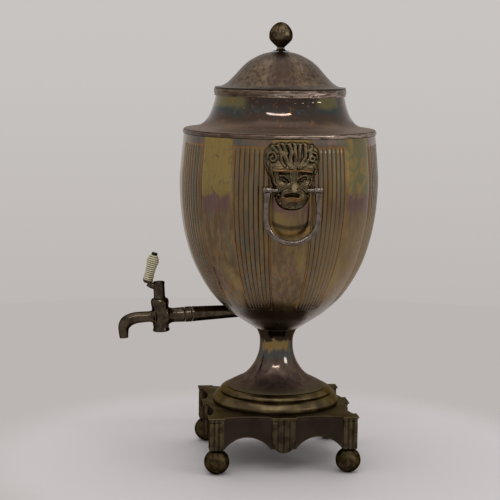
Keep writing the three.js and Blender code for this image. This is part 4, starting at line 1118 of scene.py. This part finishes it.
# Height of the face on its middle line, and half its width, at levels up the mask
FACE_HEIGHTS = [
    (-37.6, 1.5), (-34, 5), (-29, 7.4), (-25.5, 8.4), (-21, 7.4), (-18.5, 8.2), (-13, 8), (-9, 7), (-5, 7.2),
    (1, 8.4), (5, 6.6), (10, 3.6), (28, 1.6),
]
FACE_WIDTHS = [
    (-37.6, 11), (-33, 14), (-28, 15.4), (-22, 16.6), (-17, 19.2), (-10, 20.5), (0, 23), (12, 27), (28, 27),
]

# Strokes of the relief: width, height and middle line, as (across, up). A sunk one has a height below 0.
MASK_STROKES = [
    (1.3, 1.6, (-20, 1), (-12, 1.2), (-6, 1.6), (-3.9, 0.8)),
    (1.3, 1.6, (5.6, 1.4), (10.6, 1), (18.6, -0.3)),
    (1, -1.8, (-13, -1.6), (-8, -1.8), (-4.2, -1.8)),
    (1, -1.8, (5.5, -1.4), (12, -1.4), (18, -2.6)),
    (1.1, 1, (-2.2, 1), (-2.8, -3), (-1.6, -10)),
    (1.1, 0.9, (3.6, 1), (4, -3), (3.4, -10)),
    (1.7, 1.8, (0.8, 2.8), (1.8, 2.5)),
    (2.5, 2, (-1.2, -13.4), (3.8, -13.4)),
    (2, 2.4, (1.3, -12), (1.3, -17)),
    (0.9, -1.6, (-2.5, -16.6), (-2.2, -15.8)),
    (0.9, -1.6, (4.2, -16.6), (3.9, -15.8)),
    (1.9, -4.2, (-6.5, -22.8), (-1, -21.8), (4.5, -22.8)),
    (1.5, 1.6, (-10.5, -24.8), (-6, -26), (-2.5, -26.6)),
    (1.5, 1.6, (3.6, -26.6), (6, -26), (9.7, -24.8)),
    (1, 1.2, (7.3, -20.4), (10.6, -23.4)),
    (3.2, 0.9, (-4.4, -18.4), (-9.4, -19.2)),
    (3.2, 0.9, (6.6, -18.4), (10.6, -19.2)),
    (3, -1.4, (-2.6, -31.8), (2.4, -31.8)),
    (1.3, 1.4, (-3.4, -35.6), (-1.6, -36)),
    (1.3, 1.4, (1.3, -36), (3.6, -35.6)),
    (1.9, -4.4, (-17.6, -24.4), (-14.6, -24.2)),
    (2, 3.2, (-14.5, -22.5), (-17, -27), (-17.6, -31.6), (-14, -33.4), (-12.8, -30.4)),
    (1.8, 2.6, (15.5, -23), (17, -27), (16.4, -31.6), (13, -33.4)),
    (2.4, 3.4, (-2, 4.8), (-5.6, 9.8), (-7.4, 14.5), (-6.2, 17.6)),
    (1.8, 3, (-8.2, 6), (-11.4, 12), (-9.6, 18.2), (-7.8, 13)),
    (2.3, 4.2, (-0.8, 5), (-2.4, 12), (-1.4, 19), (-3.6, 27)),
    (2.2, 3.6, (1.2, 5), (2.8, 12), (2.4, 18), (2, 27)),
    (2, 3.4, (2.8, 5), (6, 11), (6.8, 19), (7.4, 26.5)),
    (2.1, 3.8, (5, 5), (8.8, 8.4), (12.2, 13.4), (12.2, 20), (12.6, 26.5)),
    (2, 3.2, (7, 4.6), (13.2, 8.6), (17.6, 14.4), (17.2, 18.8), (14.6, 19.6)),
    (1.9, 3, (17.4, 20), (19, 22.6), (18.4, 25)),
    (2.1, 3.2, (-6.4, 18.8), (-7.6, 22), (-9.6, 26.5)),
    (2.1, 3.2, (-11.6, 18), (-12.6, 22), (-15.2, 25.4)),
    (2, 3, (-15, 18.4), (-17, 21), (-20.4, 24)),
    (1.6, 2.6, (20.8, 7), (23.4, 2.6), (22.4, -2)),
    (1.5, 2.4, (-23.8, 7.4), (-24, 2.4), (-22, -3)),
    (1.5, 2.4, (-20.8, 6.6), (-21.2, 1), (-19.6, -5)),
]

# Strokes that both halves of the face have: the eyes and their lids, the cheeks and the ears
PAIRED_STROKES = [
    (1.6, 2.4, (18.6, -7), (18.4, -10), (16.4, -12.4)),
    (2.9, -2.4, (6.4, -8.8), (10.6, -6.6)),
    (1.5, 2.8, (4, -8), (7.4, -4.8), (12.4, -3.6)),
    (0.8, 1.3, (5.6, -10.4), (8.8, -10), (11.8, -7.8)),
    (1.3, 1.7, (8.2, -8), (8.6, -7.8)),
    (1.2, 1.7, (7.4, -12.6), (11.6, -14.6), (14.2, -19.4)),
    (0.7, -1.3, (5.4, -16), (9.4, -17.2), (12.2, -20.6)),
    (1.4, 3.6, (24, 13), (23.6, 16.4), (19.4, 18.4), (16.4, 15.4),
     (16.8, 11), (20.2, 10.2), (21.6, 13), (19.6, 14.4)),
]


def profile(knots, place):
    """Value at a place, read off a soft line through (place, value) knots."""
    for (low, low_value), (high, high_value) in zip(knots, knots[1:]):
        if place <= high:
            share = max(0, (place - low) / (high - low))
            share = share * share * (3 - 2 * share)
            return low_value + share * (high_value - low_value)
    return knots[-1][1]


def stroke_lines():
    """Points along the middle of each stroke of the relief, with its width and height."""
    mirrored = [(*size, *((-across, up) for across, up in places)) for *size, places in
                [(width, height, places) for width, height, *places in PAIRED_STROKES]]
    strokes = [*MASK_STROKES, *PAIRED_STROKES, *mirrored]
    return [(smooth(places, 7), width, height) for width, height, *places in strokes]


def mask_height(across, up, lines):
    """Relief of the mask above its ground."""
    share = abs(across) / profile(FACE_WIDTHS, up)
    height = profile(FACE_HEIGHTS, up) * math.sqrt(max(0, 1 - share ** 4))
    raised, sunk = 0, 0
    for line, width, tall in lines:
        nearest = min((point.x - across) ** 2 + (point.y - up) ** 2 for point in line)
        part = tall * half_round(min(1, math.sqrt(nearest) / width))
        raised, sunk = max(raised, part), min(sunk, part)
    return 1.2 + height + (raised if up < 4 else 0.6 * raised) + sunk


def make_masks():
    """Masks built of rings that shrink from the edge to the middle of the face."""
    half = [Vector(point) for point in MASK_EDGE]
    other = [Vector((-point.x, point.y)) for point in reversed(half[1:-1])]
    edge = smooth([*half, *other, half[0]], 8)[:-1]
    edge.reverse()
    lines = stroke_lines()
    centre = Vector((0, -4))

    def point_at(at, rim):
        """Point on the mask's back, or on its face where rim is its share of the full relief."""
        radius = body_radius(MASK_MIDDLE + at.y) + MASK_STAND_OFF
        out = math.sqrt(radius * radius - at.x * at.x)
        if rim is not None:
            out = min(out + 0.8 + rim * (mask_height(at.x, at.y, lines) - 0.8), MASK_LIMIT)
        return Vector((out, at.x, MASK_MIDDLE + at.y))

    rings = [[point_at(centre, None)]]
    for share in (0.5, 1):
        rings.append([point_at(centre.lerp(place, share), None) for place in edge])
    count = 84
    for step in range(count):
        share = 1 - step / count
        rings.append([point_at(centre.lerp(place, share), min(1, (1 - share) / 0.05)) for place in edge])
    rings.append([point_at(centre, 1)])
    add_round("lion_mask", rings_to_mesh(rings), MASK, ["right", "left"], sharp=60)


def mirrored_turning(half):
    """Outline of a turned piece from its lower half."""
    return [*half, *((radius, -height) for radius, height in reversed(half))]


def bail_path():
    """Middle line of a bail's wire, from one pivot to the other."""
    arm = BAIL_PIVOT_LEVEL - rise("bail_right")[0] - BAIL_WIRE - BAIL_HALF_WIDTH
    side = []
    for step in range(10):
        down = 8 + (arm - 8) * step / 9
        side.append(Vector((0, -BAIL_HALF_WIDTH - BAIL_BOW * math.sin(math.pi * down / (2 * arm)), -down)))
    for step in range(1, 25):
        turn = math.pi / 2 * step / 24
        across = (BAIL_HALF_WIDTH + BAIL_BOW) * math.cos(turn)
        side.append(Vector((0, -across, -arm - BAIL_HALF_WIDTH * math.sin(turn))))
    return [*side, *(Vector((0, -point.y, point.z)) for point in reversed(side[:-1]))]


def make_bails():
    """Bails on their pivot bars. Both are made round their own pivot, with the wire hanging down."""
    end = (span("bail_pivot_right")[1].y - span("bail_pivot_right")[0].y) / 2
    head = end - 0.8
    lying = Matrix.Rotation(math.pi / 2, 4, "X")
    half = [(0, -end), (BAR_HEAD_RADIUS * 0.7, -end), (BAR_HEAD_RADIUS, -end + 0.5), (BAR_HEAD_RADIUS, -head),
            (BAR_RADIUS, -head), (BAR_RADIUS, -HIDDEN_BAR), (1, -HIDDEN_BAR)]
    bar = moved(turned(mirrored_turning(half), 32), lying)

    rim, inner = KNUCKLE_RADIUS, KNUCKLE_RADIUS - 0.5
    half = beside(0, -KNUCKLE_HALF, (1.95, 0), (rim, 0), (rim, 1.3), (inner, 1.9))
    knuckle = moved(turned(eased(mirrored_turning(half), 0.35), 40), lying)
    collar_line = [(0, -10.5), (BAIL_WIRE, -10.5), (BAIL_WIRE + 0.2, -8),
                   (rim - 0.2, -5.5), (rim, -4.4), (rim, -2.6), (0, -2.6)]
    collar = turned(eased(collar_line, 0.4), 32)
    parts = [tube(bail_path(), lambda share: BAIL_WIRE, 24)]
    for side in (1, -1):
        place = Matrix.Translation((0, side * BAIL_HALF_WIDTH, 0))
        parts += [moved(knuckle, place), moved(collar, place)]
    bail = together(*parts)
    hung = Matrix.Translation((middle("bail_pivot_right").x, 0, BAIL_PIVOT_LEVEL))
    for name, turn in (("right", 0), ("left", math.pi)):
        place = ON_AXIS @ Matrix.Rotation(turn, 4, "Z") @ hung
        add_piece(f"bail_pivot_{name}", bar, BRIGHT, place)
        add_piece(f"bail_{name}", bail, BRIGHT, place, body=f"bail_{name}")


def make_pipe():
    near = -TAP_TAIL - SEAT_GAP
    far = near - 7
    end = far - SEAT_GAP
    start = end - 52.1
    outline = [(4.9, start), (6.3, start), (7.7, end - 3.2), (7.9, end - 2.6), (7.7, end), (4.9, end)]
    add_piece("outlet_pipe", turned(eased(outline, 0.3), 48), TAP, TAP_FRAME @ ALONG_X)
    beads = [(8, far + 0.8), (7.8, far + 2.2), (8, far + 3.5), (7.8, far + 4.8), (8, near - 0.8)]
    outline = [(4.75, far), (7.6, far), *beads, (7.6, near), (4.75, near)]
    add_piece("pipe_joint_ring", turned(eased(outline, 0.3), 64), TAP, TAP_FRAME @ ALONG_X)


def make_spout():
    """Curved spout: thick wall, closed at its root and open at its mouth."""
    line = [(5.5, 0), (0.25 * SPOUT_REACH, 0), (0.45 * SPOUT_REACH, 0), (0.68 * SPOUT_REACH, -0.5),
            (0.87 * SPOUT_REACH, -0.15 * SPOUT_DROP), (0.975 * SPOUT_REACH, -0.37 * SPOUT_DROP),
            (SPOUT_REACH, -0.65 * SPOUT_DROP), (SPOUT_REACH, -SPOUT_DROP)]
    path = smooth([(x, 0, z) for x, z in line], 8)

    def thickness(share):
        root = 4.2 * math.exp(-((share / 0.1) ** 2))
        swell = 5.2 + 1.3 * min(1, share / 0.62) ** 1.5
        return swell + root - 2.1 * max(0, share - 0.62) / 0.38

    rings = tube_rings(path, thickness, 32)
    mouth = path[-1]
    inward = (path[-6] - mouth).normalized() * 8
    lip = [mouth + (point - mouth).normalized() * SPOUT_BORE for point in rings[-1]]
    return rings_to_mesh([[path[0]], *rings, lip, [point + inward for point in lip], [mouth + inward]])


def make_tap_body():
    low, high, radius, tail = -BARREL_BELOW, BARREL_ABOVE, BARREL_RADIUS, -TAP_TAIL
    outer = beside(radius, low, (-1.9, 0), (-0.3, 0), (0.3, 1.6), (-0.6, 4), (0, 9))
    lip = [(radius + 0.2, high - 8), (BARREL_LIP, high - 5), (BARREL_LIP, high - 2.2), (radius - 0.4, high)]
    inner = [(5.75, high), (4.9, low + 4.4), (radius - 1.9, low + 4.4)]
    barrel = turned(eased([*outer, *lip, *inner], 0.7, 4), 64)
    tail_line = [(3.5, tail), (7.7, tail), (7.3, tail * 0.6), (7.4, -12),
                 (8.4, -9), (10.2, -7.4), (8.3, -1), (3.5, -1)]
    neck = moved(turned(eased(tail_line, 1.0, 4), 48), ALONG_X)
    spigot_line = [(3.5, tail - 19), (4.6, tail - 19), (4.6, tail + 1), (3.5, tail + 1)]
    spigot = moved(turned(spigot_line, 32), ALONG_X)
    add_piece("tap_body", together(barrel, neck, spigot, make_spout()), TAP, TAP_FRAME)


def make_plug():
    low, foot, top = 4.4 - BARREL_BELOW, BARREL_ABOVE + SEAT_GAP, PLUG_HEAD_TOP
    radius = PLUG_HEAD_RADIUS
    waist = radius - 0.35
    outline = [(0, low), (4.7, low), (5.6, foot), (radius, foot), (radius, foot + 1.2), (waist, foot + 1.7),
               (waist, top - 3), (radius, top - 2.2), (radius, top - 0.9), (radius - 0.9, top), (0, top)]
    stock = turned(eased(outline, 0.5), 56)
    along = [(0, 5.2), (radius, 4.2), (GRIP_OUT * 0.9, 2.2), (GRIP_OUT, 1.4)]
    arm = tube(smooth([(out, 0, top - drop) for out, drop in along], 8), lambda share: 3.7 - 1.1 * share, 24)
    tang_top = CAP_LOW + 1.2
    tang_line = [(0, -2.6), (3.2, -2.6), (4.7, -1.4), (4.7, -0.3),
                 (1.6, -0.3), (1.6, tang_top), (0, tang_top)]
    tang = turned(tang_line, 32)
    form = together(moved(stock, TAP_FRAME), moved(arm, TAP_FRAME), moved(tang, GRIP_FRAME))
    add_piece("tap_plug", form, TAP, Matrix(), body="key")


def make_grip():
    shares = [
        (5.5, 1.2 / GRIP_LENGTH), (5.3, 0.19), (5.05, 0.31), (5.65, 0.56),
        (6.45, 0.76), (5.55, 0.89), (3.6, 1),
    ]
    ringed = []
    for point in smooth([(radius, up * GRIP_LENGTH) for radius, up in shares], 20):
        turn = point.y / GRIP_LENGTH * GRIP_RING_COUNT
        groove = (0.5 + 0.5 * math.cos(2 * math.pi * turn)) ** 3
        ringed.append((point.x - GRIP_RING_DEPTH * groove, point.y))
    grip = turned([(1.9, 0), (5.1, 0), (5.5, 0.4), *ringed, (1.9, GRIP_LENGTH)], 48)
    add_piece("key_grip", grip, IVORY, GRIP_FRAME, body="key", sharp=70)
    outline = beside(0, CAP_LOW, (0, 1.5), (1.9, 1.5), (1.9, 0), (3.1, 0), (3.1, 1.6), (2.5, 2.2), (0, 2.2))
    add_piece("grip_cap", turned(eased(outline, 0.5, 4), 40), BLACK, GRIP_FRAME, body="key")


def dress_cad_nodes():
    """Gives the CAD nodes that stay their materials."""
    looks = {
        "foot_stud": BRONZE, "lid_bezel": TINNED, "finial_nut": TINNED, "plug_washer": RINGS,
        "plug_screw": RINGS, "heater_sleeve": TINNED, "heater_iron": IRON, "sleeve_cover": TINNED,
    }
    for name, node in frame["nodes"].items():
        for start, (material, slot) in looks.items():
            if name.startswith(start):
                node.data.materials.clear()
                node.data.materials.append(material)


# Studio and camera


def make_floor():
    """Pale table top under the urn. It takes the shadow, and fades into the background all round."""
    shade = Shade("floor", metallic=0.0)
    shade.put(shade.shader["Base Color"], tone(*FLOOR_TONE))
    shade.put(shade.shader["Roughness"], 0.75)
    nodes = shade.tree.nodes
    fade = shade.looked_at() * distance(shade.x, shade.y).step(*FLOOR_FADE)
    glow = shade.node("Emission", {"Color": tone(*WALL_LOW)})
    lit = Value(shade, nodes["Principled BSDF"].outputs[0])
    shade.put(nodes["Material Output"].inputs["Surface"], shade.node("MixShader", {0: fade, 1: lit, 2: glow}))
    mesh = bpy.data.meshes.new("floor")
    corners = [around(1, 0, angle) + AXIS * MM for angle in range(0, 360, 5)]
    mesh.from_pydata(corners, [], [range(len(corners))])
    mesh.materials.append(shade.material)
    add_object("floor", mesh)


def make_world():
    """Plain pale surroundings, a little lighter higher up."""
    world = bpy.data.worlds.new("studio")
    bpy.context.scene.world = world
    world.use_nodes = True
    nodes = Nodes(world.node_tree)
    up = nodes.node("SeparateXYZ", {0: nodes.node("TexCoord", {}, "Generated")}, "Z")
    wall = nodes.blend(up.step(-0.24, 0.03), WALL_LOW, WALL_HIGH)
    light = nodes.mix(nodes.looked_at(), tone(*WORLD_LIGHT), wall)
    nodes.put(world.node_tree.nodes["Background"].inputs["Color"], light)


def add_lamp(name, azimuth, elevation, distance_m, size, power):
    """Soft lamp that faces the urn. The azimuth is from the near mask, in degrees."""
    light = bpy.data.lights.new(name, "AREA")
    light.shape = "RECTANGLE"
    light.size, light.size_y = size
    light.energy = power
    above = math.radians(elevation)
    toward = around(math.cos(above), math.sin(above), azimuth)
    lamp = add_object(name, light)
    lamp.location = (AXIS + Vector((0, 0, 250))) * MM + toward * distance_m
    lamp.rotation_euler = toward.to_track_quat("Z", "Y").to_euler()


def make_camera():
    data = bpy.data.cameras.new("camera")
    data.sensor_width = SENSOR_WIDTH
    data.lens = FOCAL_PIXELS * SENSOR_WIDTH / PHOTO_WIDTH
    data.clip_start, data.clip_end = 0.05, 50
    camera = add_object("camera", data)
    place = Vector((math.cos(CAMERA_AZIMUTH), math.sin(CAMERA_AZIMUTH), 0)) * CAMERA_DISTANCE + AXIS
    place.z = CAMERA_HEIGHT
    inward = math.pi + CAMERA_AZIMUTH - CAMERA_YAW
    level = math.cos(CAMERA_PITCH)
    forward = Vector((math.cos(inward) * level, math.sin(inward) * level, -math.sin(CAMERA_PITCH)))
    right = forward.cross(Vector((0, 0, 1))).normalized()
    up = right.cross(forward)
    rolled_right = right * math.cos(CAMERA_ROLL) + up * math.sin(CAMERA_ROLL)
    rolled_up = up * math.cos(CAMERA_ROLL) - right * math.sin(CAMERA_ROLL)
    turn = Matrix((rolled_right, rolled_up, -forward)).transposed()
    camera.matrix_world = Matrix.Translation(place * MM) @ turn.to_4x4()
    bpy.context.scene.camera = camera


make_body()
make_shoulder_band()
make_neck()
make_mouth_band()
make_lid()
make_finial()
make_stem()
make_foot_rings()
make_posts()
make_panels()
make_bosses()
make_plate()
make_balls()
make_masks()
make_bails()
make_pipe()
make_tap_body()
make_plug()
make_grip()
dress_cad_nodes()
make_floor()
make_world()
add_lamp("soft_overhead", 0, 90, 2.4, (3, 3), 18)
add_lamp("strip_front", -9, 42, 2, (1.2, 0.1), 5)
add_lamp("soft_right", 54, 20, 2, (0.5, 0.3), 4)
make_camera()
bpy.context.scene.view_settings.view_transform = "Standard"
